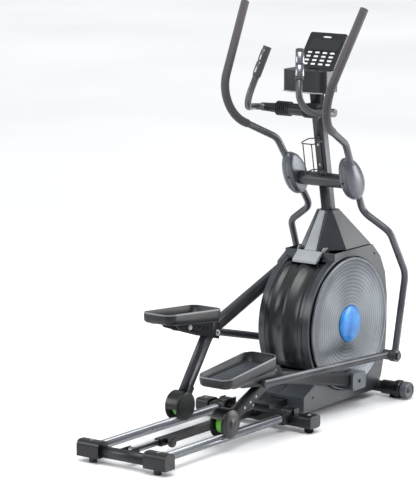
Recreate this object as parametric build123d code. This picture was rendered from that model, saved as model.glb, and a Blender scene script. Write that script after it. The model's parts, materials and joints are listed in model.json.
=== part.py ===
"""Front-drive elliptical trainer with folding roller rails.

Units are millimetres.  +X points from the user towards the console, +Y to the user's left and +Z up.
Everything is drawn about the crank axle's foot point and moved by ORIGIN_X on export, so that the
exported origin lies on the floor at the middle of the machine's footprint.
Side pieces are drawn on the left (positive y) and mirrored for the right.
"""
import math
import os

from build123d import *

# ---- driving dimensions ------------------------------------------------------------------------
ORIGIN_X = 556.5          # crank axle's distance in front of the exported origin

CRANK_Z = 364.0           # crank axle height
CRANK_R = 243.0           # crank pin circle, giving a stride of about 486
ARM_CHORD = 949.0         # crank pin to roller axle
ROLLER_Z = 118.0          # roller axle height
LINK_ALONG = 320.0        # link pivot on the roller arm, from the roller axle along the chord
LINK_ABOVE = 132.0        # and above the chord
LINK_LENGTH = 772.0       # pedal link, pivot to pivot
SWING_PIVOT = (2.0, 977.0)    # x, z of the swing arm pivot
SWING_FOOT = (142.0, 215.0)   # x, z of the swing arm's lower pivot
FOLD_HINGE = (-470.0, 78.0)   # x, z of the rails' fold hinge
BRACE_HINGE = (-536.0, 60.0)  # x, z of the centre brace's front hinge

DISC_R = 288.0
DISC_FACE_Y = 140.0
DISC_BACK_Y = 112.0
HUB_CAP_R = 81.0

HINGE_PIN_R = 5.0
RAIL_Y = 162.0
RAIL_Z = 58.0
RAIL_R = 19.0
RAIL_REAR_X = -1368.0
RAIL_FRONT_X = -526.0
REAR_BAR_X = -1390.0
BRACE_EYE_X = -1342.0
MID_BAR_X = -491.0
FRONT_BAR_X = 254.0
FRONT_BAR_Z = 40.0

ARM_Y = 168.0             # roller arm's middle plane
ARM_WIDTH = 36.0
ARM_HEIGHT = 60.0
ROLLER_R = ROLLER_Z - RAIL_Z - RAIL_R - 0.3
ROLLER_WIDTH = 32.0
AXLE_R = 8.0
FENDER_R = 62.0
FENDER_WALL = 3.0

LINK_Y = 240.0            # pedal link tube's middle plane
LINK_TUBE_R = 16.0
PEDAL_TILT = 6.8          # pedal's toe-up angle against its link
PEDAL_TOE = -28.0         # pedal ends along the link, from the link's rear pivot
PEDAL_HEEL = -392.0
PEDAL_INNER_Y = 75.0
PEDAL_OUTER_Y = 235.0
PEDAL_FLOOR = 64.0        # underside of the pedal floor above the pivot
PEDAL_RIM = 93.0

SWING_TUBE_R = 15.0
SWING_GRIP_R = 18.0
SWING_Y = 278.0           # swing arm's lower end
SHAFT_R = 20.0
BUSH_R = 27.0
PIN_R = 12.0
FIT = 0.05                # radial running clearance

MAST_LEAN = 10.7
MAST_FOOT = (103.3, 480.0)    # x, z of the mast's lower end on its axis
MAST_LENGTH = 935.0
MAST_DEPTH = 50.0
MAST_WIDTH = 50.0

HOUSING_HALF = 128.0
HOUSING_WALL = 3.0
RECESS_R = 292.0
RECESS_Y = 108.0
DRUM_R = 305.0
SHROUD_TOP = 845.0
SPLIT_Z = 683.0           # where the upper shroud starts

FLYWHEEL_AT = (155.0, 300.0)
FLYWHEEL_R = 125.0
PULLEY_R = 140.0
FLYWHEEL_PULLEY_R = 20.0
BELT_Y = 68.0

os.makedirs("parts", exist_ok=True)


# ---- drawing helpers ---------------------------------------------------------------------------
def save(name, *shapes):
    """Writes one node: its solids moved to the exported origin."""
    solids = []
    for shape in shapes:
        solids.extend(shape.solids())
    moved = [Pos(ORIGIN_X, 0, 0) * solid for solid in solids]
    export_step(moved[0] if len(moved) == 1 else Compound(children=moved), f"parts/{name}.step")


def block(x0, x1, y0, y1, z0, z1):
    """Box between two opposite corners."""
    return Pos((x0 + x1) / 2, (y0 + y1) / 2, (z0 + z1) / 2) * Box(x1 - x0, y1 - y0, z1 - z0)


def rod_y(radius, y0, y1, x=0.0, z=0.0):
    """Cylinder along Y."""
    return Pos(x, (y0 + y1) / 2, z) * Rot(90, 0, 0) * Cylinder(radius, y1 - y0)


def ring_y(outer, inner, y0, y1, x=0.0, z=0.0):
    """Tube along Y."""
    return rod_y(outer, y0, y1, x, z) - rod_y(inner, y0 - 1, y1 + 1, x, z)


def plate_y(points, y0, y1):
    """Plate with an outline in X and Z, between two y values."""
    outline = Polyline(*[(x, 0, z) for x, z in points], close=True)
    return Pos(0, y0, 0) * extrude(make_face(outline), amount=y1 - y0, dir=(0, 1, 0))


def bent_bar(points, radii, section):
    """Sweeps a section along straight runs joined by arcs; the section's local x lies along Y."""
    path = FilletPolyline(*points, radius=radii)
    start = Plane(origin=path @ 0, x_dir=(0, 1, 0), z_dir=path % 0)
    return sweep(start * section, path=path)


def bent_tube(points, radii, radius):
    """Sweeps a round section along straight runs joined by arcs."""
    path = FilletPolyline(*points, radius=radii)
    return sweep(Plane(origin=path @ 0, z_dir=path % 0) * Circle(radius), path=path)


def along(start, end, distance):
    """Point at a distance from start towards end."""
    length = math.dist(start, end)
    return tuple(a + (b - a) * distance / length for a, b in zip(start, end))


def both(shape):
    """The shape and its mirror image across the middle plane."""
    return shape, mirror(shape, Plane.XZ)


def on_side(shape, side):
    """The left piece as drawn, or its mirror image for the right."""
    return shape if side == "left" else mirror(shape, Plane.XZ)


# ---- linkage at rest: cranks upright, right pedal low ------------------------------------------
def arm_place(side):
    """Roller axle position and the roller arm's chord elevation."""
    pin_z = CRANK_Z + (CRANK_R if side == "left" else -CRANK_R)
    rise = pin_z - ROLLER_Z
    axle_x = -math.sqrt(ARM_CHORD ** 2 - rise ** 2)
    return axle_x, math.degrees(math.atan2(rise, -axle_x))


def link_elevation(side):
    """Elevation of the pedal link from its rear pivot to its front one."""
    axle_x, tilt = arm_place(side)
    cos_t, sin_t = math.cos(math.radians(tilt)), math.sin(math.radians(tilt))
    rear_x = axle_x + LINK_ALONG * cos_t - LINK_ABOVE * sin_t
    rear_z = ROLLER_Z + LINK_ALONG * sin_t + LINK_ABOVE * cos_t
    return math.degrees(math.atan2(SWING_FOOT[1] - rear_z, SWING_FOOT[0] - rear_x))


def place_arm(shape, side):
    """From the arm's own frame, origin at the roller axle and +X along the chord."""
    axle_x, tilt = arm_place(side)
    return on_side(Pos(axle_x, 0, ROLLER_Z) * Rot(0, -tilt, 0) * shape, side)


def place_link(shape, side):
    """From the link's own frame, origin at its rear pivot and +X towards the front one."""
    start = Pos(SWING_FOOT[0], 0, SWING_FOOT[1]) * Rot(0, -link_elevation(side), 0) * Pos(-LINK_LENGTH, 0, 0)
    return on_side(start * shape, side)


# ---- base frame --------------------------------------------------------------------------------
def base_frame():
    """Beam on the floor line and two upright plates that hold the crank, the flywheel and the mast."""
    beam = block(-460, 240, -40, 40, 40, 80)
    upright = plate_y([(-45, 80), (235, 80), (235, 330), (150, 535), (50, 535), (-45, 400)], 34, 40)
    spacer = block(55, 145, 25, 34, 484, 530)
    shell = ring_y(30, 15 + FIT, -58, 58, 0, CRANK_Z)
    frame = beam + upright + spacer + mirror(upright, Plane.XZ) + mirror(spacer, Plane.XZ)
    frame -= rod_y(29, -50, 50, 0, CRANK_Z)
    frame += shell
    return frame - rod_y(10 + FIT, -50, 50, *FLYWHEEL_AT)


def mid_crossbar():
    """Cross tube under the rails' front ends, with the brace's hinge lugs."""
    return block(MID_BAR_X - 31, MID_BAR_X + 31, -232, 232, 25, 65) + brace_hinge()


def rail_hinges():
    """Two cheeks and a pin at the front end of each rail, fixed to the mid crossbar."""
    x, z = FOLD_HINGE
    hinge = rod_y(HINGE_PIN_R, RAIL_Y - 30, RAIL_Y + 30, x, z)
    for offset in (-27, 27):
        y = RAIL_Y + offset
        hinge += block(x - 26, x + 10, y - 3, y + 3, 65, z + 12)
    return both(hinge)


def levelling_feet():
    """Round feet under the mid crossbar and the front stabilizer."""
    spots = [(MID_BAR_X, 264, 22), (FRONT_BAR_X, 205, 9)]
    feet = []
    for x, y, top in spots:
        feet.extend(both(Pos(x, y, top / 2) * Cylinder(18, top)))
    return feet


def front_stabilizer():
    """Front cross tube with a stub for each transport wheel."""
    tube = rod_y(25, -250, 250, FRONT_BAR_X, FRONT_BAR_Z) - block(200, 240, -40, 40, 0, 90)
    return tube + rod_y(AXLE_R, -290, 290, FRONT_BAR_X, FRONT_BAR_Z)


def transport_wheels():
    """End wheels, just clear of the floor until the machine is tipped onto them."""
    return both(ring_y(37, AXLE_R + FIT, 254, 288, FRONT_BAR_X, FRONT_BAR_Z))


def end_caps():
    """Black caps on the mid crossbar and sleeves on the front stabilizer."""
    cap = block(MID_BAR_X - 38, MID_BAR_X + 38, 232, 296, 22, 76)
    cap = fillet(cap.edges().filter_by(Axis.Y), 14)
    sleeve = ring_y(31, 25, 150, 248, FRONT_BAR_X, FRONT_BAR_Z)
    return [*both(cap), *both(sleeve)]


def mast():
    """Leaning rectangular post from the base frame to the console."""
    body = Pos(0, 0, MAST_LENGTH / 2) * Box(MAST_DEPTH, MAST_WIDTH, MAST_LENGTH)
    body = fillet(body.edges().filter_by(Axis.Z), 12)
    post = Pos(MAST_FOOT[0], 0, MAST_FOOT[1]) * Rot(0, -MAST_LEAN, 0) * body
    return post - rod_y(30, -200, 200, *SWING_PIVOT)


def mast_local(shape, height):
    """From a frame on the mast's axis at a given height, leaning with the mast."""
    x = MAST_FOOT[0] - (height - MAST_FOOT[1]) * math.tan(math.radians(MAST_LEAN))
    return Pos(x, 0, height) * Rot(0, -MAST_LEAN, 0) * shape


# ---- housing -----------------------------------------------------------------------------------
def housing_outline(inset):
    """Side outline of the lower housing, moved inwards by inset."""
    return [(-332 + inset, 30 + inset), (236 - inset, 30 + inset), (270 - inset, 90), (300 - inset, 200),
            (309 - inset, 300), (309 - inset, 440), (292 - inset, 545), (252 - inset, 622),
            (188 - inset, SPLIT_Z), (-105 + inset, SPLIT_Z), (-105 + inset, 600), (-210, 160), (-332 + inset, 96 - inset)]


def housing_body(inset, half):
    """Solid lower housing: the body outline joined with the drum round the crank."""
    body = plate_y(housing_outline(inset), -half, half)
    return body + rod_y(DRUM_R - inset, -half, half, 0, CRANK_Z)


def lower_housing():
    """Left half of the hollow lower housing, with the disc's recess and the frame's openings."""
    shell = housing_body(0, HOUSING_HALF) - housing_body(HOUSING_WALL, HOUSING_HALF - HOUSING_WALL)
    shell -= rod_y(RECESS_R, 100, 200, 0, CRANK_Z)
    cup = ring_y(RECESS_R + HOUSING_WALL, RECESS_R, RECESS_Y - HOUSING_WALL, HOUSING_HALF, 0, CRANK_Z)
    floor = ring_y(RECESS_R + HOUSING_WALL, 34, RECESS_Y - HOUSING_WALL, RECESS_Y, 0, CRANK_Z)
    shell = (shell & block(-600, 600, 0, 400, 0, 900)) + cup + floor
    shell -= block(-360, -300, -1, 41, 38, 82)
    shell -= rod_y(26, -1, 300, FRONT_BAR_X, FRONT_BAR_Z)
    shell -= block(215, 295, -1, 300, 0, 45)
    shell -= power_inlet()
    shell -= block(-150, 400, -1, 300, SPLIT_Z - 1, SPLIT_Z + 90)
    return shell - rear_window()


def rear_window():
    """Space of the ridged rear cover, between the two halves of the housing."""
    ring = ring_y(DRUM_R + 6, DRUM_R - HOUSING_WALL - 3, -97, 97, 0, CRANK_Z)
    sector = plate_y([(0, CRANK_Z), (-165, 760), (-420, 760), (-420, 150), (-300, 150)], -120, 120)
    return ring & sector


def rear_cover():
    """Curved centre cover with three raised ridges."""
    sector = plate_y([(0, CRANK_Z), (-169, 760), (-419, 760), (-419, 154), (-304, 154)], -120, 120)
    skin = ring_y(DRUM_R - 1, DRUM_R - 5, -96, 96, 0, CRANK_Z)
    for y in (-52, 0, 52):
        skin += ring_y(DRUM_R + 3, DRUM_R - 2, y - 12, y + 12, 0, CRANK_Z)
    return skin & sector


def neck(inset):
    """Tapering shroud round the mast's foot, narrower towards the user."""
    foot = (SPLIT_Z, -104.0, 205.0, 34.0, 118.0)
    top = (SHROUD_TOP, -12.0, 72.0, 26.0, 40.0)
    faces = []
    for z, x0, x1, rear, half in (foot, top):
        rise = (half - rear) * 1.25
        x0, x1, rear, half = x0 + inset, x1 - inset, rear - inset, half - inset
        corners = [(x0, -rear), (x0, rear), (x0 + rise, half), (x1 - 15, half), (x1, half - 12),
                   (x1, 12 - half), (x1 - 15, -half), (x0 + rise, -half)]
        faces.append(make_face(Polyline(*[(x, y, z) for x, y in corners], close=True)))
    return loft(faces, ruled=True)


def upper_shroud():
    """Hollow neck, open at its foot and round the mast."""
    return neck(0) - (neck(3) & block(-400, 400, -200, 200, SPLIT_Z - 1, SHROUD_TOP - 4)) - mast_space()


def mast_space():
    """The mast's outline with a small clearance."""
    body = Pos(0, 0, 500) * Box(MAST_DEPTH + 1, MAST_WIDTH + 1, 1000)
    return Pos(MAST_FOOT[0], 0, MAST_FOOT[1]) * Rot(0, -MAST_LEAN, 0) * body


def power_inlet():
    """Socket for the power lead, low on the housing's nose."""
    return block(284, 297, -14, 14, 150, 174)


def trim_saddle():
    """Light trim block on the drum's crown, against the housing's rear wall."""
    profile = [(-150, 600), (-105.3, 600), (-105.3, SPLIT_Z + 2), (-116, SPLIT_Z - 6), (-150, 648)]
    return plate_y(profile, -62, 62) - rod_y(DRUM_R + 4, -100, 100, 0, CRANK_Z)


# ---- drive train -------------------------------------------------------------------------------
def crank_axle():
    """Axle with one crank bar at each end."""
    axle = rod_y(15, -136, 136, 0, CRANK_Z)
    bar = block(-17, 17, 116, 128, CRANK_Z - 17, CRANK_Z + CRANK_R)
    bar += rod_y(17, 116, 128, 0, CRANK_Z + CRANK_R)
    hub = rod_y(26, 112, 132, 0, CRANK_Z)
    other = Rot(0, 180, 0) * Pos(0, 0, -CRANK_Z) * mirror(bar + hub, Plane.XZ)
    return axle + bar + hub + Pos(0, 0, CRANK_Z) * other


def crank_disc():
    """Dished cover disc that turns with the cranks."""
    disc = rod_y(DISC_R, DISC_BACK_Y, DISC_FACE_Y, 0, CRANK_Z)
    disc = fillet(disc.edges().sort_by(Axis.Y)[-1], 8)
    hollow = rod_y(DISC_R - 4, DISC_BACK_Y - 1, DISC_FACE_Y - 4, 0, CRANK_Z)
    return disc - hollow


def hub_cap():
    """Domed cap in the middle of the disc."""
    sphere_r = 280.0
    rise = sphere_r - math.sqrt(sphere_r ** 2 - HUB_CAP_R ** 2)
    dome = Pos(0, DISC_FACE_Y + rise - sphere_r, CRANK_Z) * Sphere(sphere_r)
    return dome & rod_y(HUB_CAP_R, DISC_FACE_Y, DISC_FACE_Y + 30, 0, CRANK_Z)


def drive_pulley():
    """Large belt pulley on the crank axle."""
    wheel = ring_y(PULLEY_R, 15, BELT_Y - 8, BELT_Y + 8, 0, CRANK_Z)
    return wheel - ring_y(PULLEY_R - 16, 34, BELT_Y, BELT_Y + 9, 0, CRANK_Z)


def flywheel():
    """Heavy wheel with its axle and small belt pulley."""
    wheel = rod_y(FLYWHEEL_R, -18, 18, *FLYWHEEL_AT) - ring_y(FLYWHEEL_R - 22, 40, 8, 19, *FLYWHEEL_AT)
    axle = rod_y(10, -46, 80, *FLYWHEEL_AT)
    return wheel + axle + rod_y(FLYWHEEL_PULLEY_R, BELT_Y - 8, BELT_Y + 8, *FLYWHEEL_AT)


def drive_belt():
    """Closed belt round both pulleys."""
    span = math.hypot(FLYWHEEL_AT[0], FLYWHEEL_AT[1] - CRANK_Z)

    def loop(extra):
        big = PULLEY_R + extra
        small = FLYWHEEL_PULLEY_R + extra
        turn = math.acos((big - small) / span)
        edges = [(big * math.cos(turn), big * math.sin(turn)),
                 (span + small * math.cos(turn), small * math.sin(turn)),
                 (span + small * math.cos(turn), -small * math.sin(turn)),
                 (big * math.cos(turn), -big * math.sin(turn))]
        return plate_y(edges, BELT_Y - 6, BELT_Y + 6) + rod_y(big, BELT_Y - 6, BELT_Y + 6) + rod_y(
            small, BELT_Y - 6, BELT_Y + 6, span, 0)

    slope = math.degrees(math.atan2(CRANK_Z - FLYWHEEL_AT[1], FLYWHEEL_AT[0]))
    return Pos(0, 0, CRANK_Z) * Rot(0, slope, 0) * (loop(2.5) - loop(0.1))


def magnet_brake():
    """Curved magnet carrier over the flywheel's rim."""
    x, z = FLYWHEEL_AT
    band = ring_y(FLYWHEEL_R + 16, FLYWHEEL_R + 3, -33.8, 33.8, x, z)
    sector = plate_y([(x, z), (x + 220, z + 60), (x + 180, z + 200), (x + 60, z + 220)], -40, 40)
    return band & sector


# ---- rails and brace ---------------------------------------------------------------------------
def rail_frame():
    """Two chrome rails welded to the rear crossbar, with a hinge socket at each front end."""
    frame = rod_y(24, -216, 216, REAR_BAR_X, 50)
    eye_x, eye_z = BRACE_EYE_X, BRACE_HINGE[1]
    frame += rod_y(5, -24, 24, eye_x, eye_z)
    hinge_x, hinge_z = FOLD_HINGE
    rail_length = RAIL_FRONT_X - RAIL_REAR_X
    rail = Pos(RAIL_REAR_X + rail_length / 2, RAIL_Y, RAIL_Z) * Rot(0, 90, 0) * Cylinder(RAIL_R, rail_length)
    lug = block(REAR_BAR_X, eye_x + 14, 19, 24, 42, 76)
    gusset = block(REAR_BAR_X + 10, REAR_BAR_X + 40, RAIL_Y - 14, RAIL_Y + 14, 44, 72)
    socket = block(RAIL_FRONT_X - 40, RAIL_FRONT_X, RAIL_Y - 25, RAIL_Y + 25, 34, 84)
    arm = block(RAIL_FRONT_X - 10, hinge_x, RAIL_Y - 23, RAIL_Y + 23, hinge_z - 9.5, hinge_z + 9.5)
    arm += rod_y(9.5, RAIL_Y - 23, RAIL_Y + 23, hinge_x, hinge_z)
    arm -= rod_y(HINGE_PIN_R + FIT, RAIL_Y - 30, RAIL_Y + 30, hinge_x, hinge_z)
    for part in (rail, lug, gusset, socket, arm):
        left, right = both(part)
        frame += left + right
    return frame


def rear_end_caps():
    """Black feet caps round the ends of the rear crossbar."""
    cap = block(REAR_BAR_X - 32, REAR_BAR_X + 32, 112, 222, 24, 90)
    cap = fillet(cap.edges().filter_by(Axis.Y).group_by(Axis.Z)[-1], 22)
    cap += Pos(REAR_BAR_X, RAIL_Y, 13) * Cylinder(17, 26)
    cap -= rod_y(24, 100, 216, REAR_BAR_X, 50)
    cap -= Pos(REAR_BAR_X + 30, RAIL_Y, RAIL_Z) * Rot(0, 90, 0) * Cylinder(RAIL_R, 60)
    cap -= block(REAR_BAR_X + 9, REAR_BAR_X + 41, RAIL_Y - 14, RAIL_Y + 14, 43, 73)
    return both(cap)


def brace_tube():
    """Rectangular outer tube of the centre brace."""
    x0, z0 = BRACE_HINGE
    tube = block(-1177, x0 + 6, -17, 17, z0 - 15, z0 + 15)
    tube -= block(-1180, x0 - 40, -13, 13, z0 - 12.3, z0 + 12.3)
    return tube - rod_y(5 + FIT, -30, 30, x0, z0) - rod_y(6, -30, 0, -1140, z0)


def brace_hinge():
    """Lugs and pin of the brace on the mid crossbar."""
    x0, z0 = BRACE_HINGE
    lugs = rod_y(5, -22, 22, x0, z0)
    for side in (1, -1):
        lugs += block(x0 - 10, MID_BAR_X - 31, min(side * 18, side * 23), max(side * 18, side * 23), 42, 72)
    return lugs


def brace_rod():
    """Chrome inner bar of the centre brace with a slotted rear eye."""
    z0 = BRACE_HINGE[1]
    front, rear = -860, BRACE_EYE_X + 12
    bar = Pos((front + rear) / 2, 0, z0) * Rot(0, 90, 0) * Cylinder(12, front - rear)
    eye = rod_y(16, -12, 12, BRACE_EYE_X, z0)
    return bar + eye - rod_y(10, -30, 30, BRACE_EYE_X, z0)


def lock_knob():
    """Pull knob with its pin, on the right side of the brace."""
    z0 = BRACE_HINGE[1]
    knob = rod_y(20, -52, -34, -1140, z0)
    knob = fillet(knob.edges(), 4)
    return knob + rod_y(9, -34, -17.5, -1140, z0) + rod_y(5, -18, -12.6, -1140, z0)


# ---- one side of the linkage -------------------------------------------------------------------
def roller_axle(side):
    """Bolt through the roller."""
    axle_x = arm_place(side)[0]
    return on_side(rod_y(AXLE_R, 134, 189, axle_x, ROLLER_Z), side)


def roller_wheel(side):
    """Roller with its tyre, running on the rail."""
    axle_x = arm_place(side)[0]
    half = ROLLER_WIDTH / 2
    wheel = ring_y(ROLLER_R, AXLE_R + FIT, RAIL_Y - half, RAIL_Y + half, axle_x, ROLLER_Z)
    return on_side(wheel, side)


def roller_arm_shape():
    """Bent arm with the roller's fork at one end and the crank stub at the other."""
    pivot = (LINK_ALONG, ARM_Y, LINK_ABOVE)
    tail = along((0, ARM_Y, 0), pivot, 52.0)
    head = (ARM_CHORD, ARM_Y, 0)
    section = RectangleRounded(ARM_WIDTH, ARM_HEIGHT, 15)
    arm = bent_bar([head, pivot, tail], 130.0, section)
    tilt = math.degrees(math.atan2(LINK_ABOVE, LINK_ALONG))
    cheek = block(0, 92, 181, 186, -14, 14) + rod_y(14, 181, 186)
    inner = block(0, 92, 138, 143, -14, 14) + rod_y(14, 138, 143)
    bridge = block(62, 92, 138, 152, -14, 14)
    arm += Rot(0, -tilt, 0) * (cheek + inner + bridge)
    arm += rod_y(22, 148, 203, LINK_ALONG, LINK_ABOVE)
    arm += rod_y(12, DISC_FACE_Y + 1.0, 151, ARM_CHORD, 0)
    return arm - rod_y(AXLE_R + FIT, 130, 195)


def fender_shape():
    """Hollow guard over the roller, open at the bottom and round the arm."""
    shell = rod_y(FENDER_R, 128, 200)
    shell = fillet(shell.edges(), 9)
    shell -= rod_y(FENDER_R - FENDER_WALL, 131, 197)
    shell -= block(-80, 80, 131, 197, -80, -28)
    shell -= block(-80, -30, 139, 190, -80, 27)
    tilt = math.degrees(math.atan2(LINK_ABOVE, LINK_ALONG))
    slot = block(25, 95, 137, ARM_Y + ARM_WIDTH / 2 + 0.5, -ARM_HEIGHT / 2 - 0.5, ARM_HEIGHT / 2 + 0.5)
    return shell - Rot(0, -tilt, 0) * slot


def crank_end_cover_shape(arm):
    """Box-shaped cover over the arm's crank end."""
    cover = block(ARM_CHORD - 62, ARM_CHORD + 40, 146, 198, -37, 37)
    cover = fillet(cover.edges().filter_by(Axis.Y), 14)
    return cover - arm


def pedal_frame(shape):
    """From the pedal's own frame to the link's."""
    return Rot(0, -PEDAL_TILT, 0) * shape


def pedal_link_shape():
    """Link tube with the bracket that carries the pedal and straddles the roller arm."""
    length = LINK_LENGTH + 150
    tube = Pos(-150 + length / 2, LINK_Y, 0) * Rot(0, 90, 0) * Cylinder(LINK_TUBE_R, length)
    eye = rod_y(22, LINK_Y - 16, LINK_Y + 16, LINK_LENGTH, 0)
    sides = [(-300, 58), (-300, 18), (-262, -6), (-26, -25), (24, -25), (24, 22), (-8, 58)]
    outer = plate_y(sides, 204, 210)
    inner = plate_y(sides, 126, 132)
    rib = block(-140, 18, 209, 228, -10, 10)
    deck = pedal_frame(block(-296, -34, 126, 210, PEDAL_FLOOR - 6, PEDAL_FLOOR))
    above = pedal_frame(block(-400, 100, 100, 230, PEDAL_FLOOR, PEDAL_FLOOR + 60))
    link = tube + eye + (outer + inner - above) + rib + deck
    link += rod_y(18, 210, 216) + rod_y(15, 120, 126)
    return link - rod_y(PIN_R + FIT, 200, 280, LINK_LENGTH, 0)


def pedal_shape():
    """Foot tray with a raised rim, a ribbed floor and skirts that hide the bracket."""
    length = PEDAL_TOE - PEDAL_HEEL
    width = PEDAL_OUTER_Y - PEDAL_INNER_Y
    middle = Pos((PEDAL_TOE + PEDAL_HEEL) / 2, (PEDAL_INNER_Y + PEDAL_OUTER_Y) / 2, PEDAL_FLOOR)
    tray = extrude(middle * RectangleRounded(length, width, 24), amount=PEDAL_RIM - PEDAL_FLOOR)
    tray -= extrude(middle * Pos(0, 0, 7) * RectangleRounded(length - 12, width - 12, 18), amount=60)
    skirt = [(PEDAL_HEEL + 20, 50), (PEDAL_TOE - 30, 26), (PEDAL_TOE - 24, PEDAL_FLOOR + 1),
             (PEDAL_HEEL + 20, PEDAL_FLOOR + 1)]
    tray += plate_y(skirt, PEDAL_INNER_Y, PEDAL_INNER_Y + 5)
    tray += plate_y(skirt, PEDAL_OUTER_Y - 5, PEDAL_OUTER_Y)
    for index in range(7):
        x = PEDAL_HEEL + 50 + index * 44
        tray += block(x, x + 18, PEDAL_INNER_Y + 22, PEDAL_OUTER_Y - 22, PEDAL_FLOOR + 6, PEDAL_FLOOR + 9)
    return pedal_frame(tray)


SWING_PATH = [(-166, 302, 1733), (-427, 256, 1306), (-103, 177, 1157), (94, 136, 840),
              (124, 258, 758), (221, SWING_Y, 565), (SWING_FOOT[0] + 4, SWING_Y, SWING_FOOT[1] + 20)]
SWING_BENDS = [150.0, 90.0, 60.0, 60.0, 90.0]
GRIP_END = 182.0          # where the foam ends, past the first bend's corner


def swing_arm_shape():
    """Bent tube with a bearing hub at the main pivot and an eye at the foot."""
    x, z = SWING_PIVOT
    tube = bent_tube(SWING_PATH, SWING_BENDS, SWING_TUBE_R)
    hub = rod_y(36, 130, 172, x, z)
    boot = rod_y(26, SWING_Y - 15, SWING_Y + 15, *SWING_FOOT)
    arm = tube + hub + boot
    arm -= rod_y(PIN_R + FIT, SWING_Y - 40, SWING_Y + 40, *SWING_FOOT)
    return arm - rod_y(BUSH_R + FIT, 100, 200, x, z)


def swing_grip_shape():
    """Foam sleeve over the top of the swing arm, closed at its end."""
    top, corner, after = SWING_PATH[:3]
    points = [top, corner, along(corner, after, GRIP_END)]
    path = FilletPolyline(*points, radius=SWING_BENDS[0])
    start = Plane(origin=path @ 0, z_dir=path % 0)
    sleeve = sweep(start * (Circle(SWING_GRIP_R) - Circle(SWING_TUBE_R)), path=path)
    return sleeve + extrude(start * Circle(SWING_GRIP_R), amount=-5)


def swing_bush_shape():
    """Plain bearing between the shaft and the swing arm."""
    return ring_y(BUSH_R, SHAFT_R + FIT, 126, 174, *SWING_PIVOT)


def pivot_cover_shape(arm):
    """Lens-shaped hollow cover over the swing arm's hub, leaning with the tube."""
    x, z = SWING_PIVOT
    lean = math.degrees(math.atan2(197, 317))

    def lens(long_half, wide_half, y0, y1):
        arc = ThreePointArc((0, 0, -long_half), (wide_half, 0, 0), (0, 0, long_half))
        back = ThreePointArc((0, 0, long_half), (-wide_half, 0, 0), (0, 0, -long_half))
        return Pos(0, y0, 0) * extrude(make_face([arc, back]), amount=y1 - y0, dir=(0, 1, 0))

    cover = lens(112, 60, 121, 188) - lens(100, 56, 124, 185)
    cover = cover & block(-90, 90, 100, 200, -98, 94)
    placed = Pos(x, 0, z) * Rot(0, -lean, 0) * cover
    passage = bent_tube(SWING_PATH, SWING_BENDS, SWING_TUBE_R + 0.3)
    return placed - rod_y(SHAFT_R + 2, 100, 130, x, z) - passage


def link_bolt_shape():
    """Pivot bolt that joins the swing arm's foot to the pedal link."""
    bolt = rod_y(PIN_R, LINK_Y - 17, SWING_Y + 16, *SWING_FOOT)
    return bolt + rod_y(17, SWING_Y + 16, SWING_Y + 24, *SWING_FOOT)


# ---- handlebar, console and cage ---------------------------------------------------------------
BAR_TOP = (-311.0, 83.0, 1566.0)
BAR_BEND = (-398.0, 138.0, 1318.0)
BAR_CORNER = (-200.0, 215.0, 1300.0)
BAR_R = 14.0
BAR_GRIP_R = 18.0
BAR_GRIP_LENGTH = 128.0


def flip(point):
    """The point on the other side of the middle plane."""
    return point[0], -point[1], point[2]


def handlebar_tube():
    """The bent tube from grip to grip."""
    points = [BAR_TOP, BAR_BEND, BAR_CORNER, flip(BAR_CORNER), flip(BAR_BEND), flip(BAR_TOP)]
    return bent_tube(points, [75.0, 48.0, 48.0, 75.0], BAR_R)


def handlebar_stem():
    """Short bar from the cross tube to the mast."""
    return block(-200, -66, -22, 22, 1284, 1316)


def handlebar():
    """Handlebar with the stem that joins it to the mast."""
    return handlebar_tube() + handlebar_stem() - mast_space()


def bar_grip_frame():
    """Plane at the grip's top, with its normal down the tube."""
    direction = tuple(b - a for a, b in zip(BAR_TOP, BAR_BEND))
    return Plane(origin=BAR_TOP, x_dir=(1, 0, 0), z_dir=direction)


def handlebar_grips():
    """Hand grips at both ends of the fixed handlebar."""
    start = bar_grip_frame()
    grip = extrude(start * (Circle(BAR_GRIP_R) - Circle(BAR_R)), amount=BAR_GRIP_LENGTH)
    grip += extrude(start * Circle(BAR_GRIP_R), amount=-5)
    return both(grip)


def pulse_plates():
    """Two metal hand-pulse plates on each grip."""
    start = bar_grip_frame()
    plates = []
    for first in (12.0, 68.0):
        ring = extrude(start * Pos(0, 0, first) * (Circle(BAR_GRIP_R + 2) - Circle(BAR_GRIP_R)), amount=46)
        keep = extrude(start * Pos(-30, 0, first - 5) * Rectangle(60, 80), amount=60)
        plates.extend(both(ring & keep))
    return plates


def handlebar_cover():
    """Cover over the handlebar's cross tube, thickest at the middle."""
    front = [(-190, 1283), (0, 1271), (190, 1283), (190, 1317), (0, 1331), (-190, 1317)]
    outline = make_face(Polyline(*[(-236, y, z) for y, z in front], close=True))
    cover = extrude(outline, amount=84, dir=(1, 0, 0))
    return cover - handlebar_tube() - handlebar_stem()


CONSOLE_FOOT = (-92.0, 1445.0)
CONSOLE_TOP = (31.0, 1605.0)
CONSOLE_HALF = 94.0


def console_face_plane():
    """Plane on the console's face: x across to the user's right, y up the face."""
    up = (CONSOLE_TOP[0] - CONSOLE_FOOT[0], 0, CONSOLE_TOP[1] - CONSOLE_FOOT[1])
    normal = (-up[2], 0, up[0])
    return Plane(origin=(CONSOLE_FOOT[0], 0, CONSOLE_FOOT[1]), x_dir=(0, -1, 0), z_dir=normal)


def console_case():
    """Tilted display slab with the wide pod below it."""
    face = console_face_plane()
    length = math.dist(CONSOLE_FOOT, CONSOLE_TOP)
    slab = extrude(face * Pos(0, length / 2, 0) * RectangleRounded(2 * CONSOLE_HALF, length, 10), amount=-46)
    pod = block(-168, -52, -109, 109, 1370, 1462)
    pod = fillet(pod.edges().filter_by(Axis.Z), 26)
    return slab + pod - mast_space()


def display_lens():
    """Clear window over the display."""
    face = console_face_plane()
    return extrude(face * Pos(0, 142, 0) * RectangleRounded(150, 56, 6), amount=2)


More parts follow.
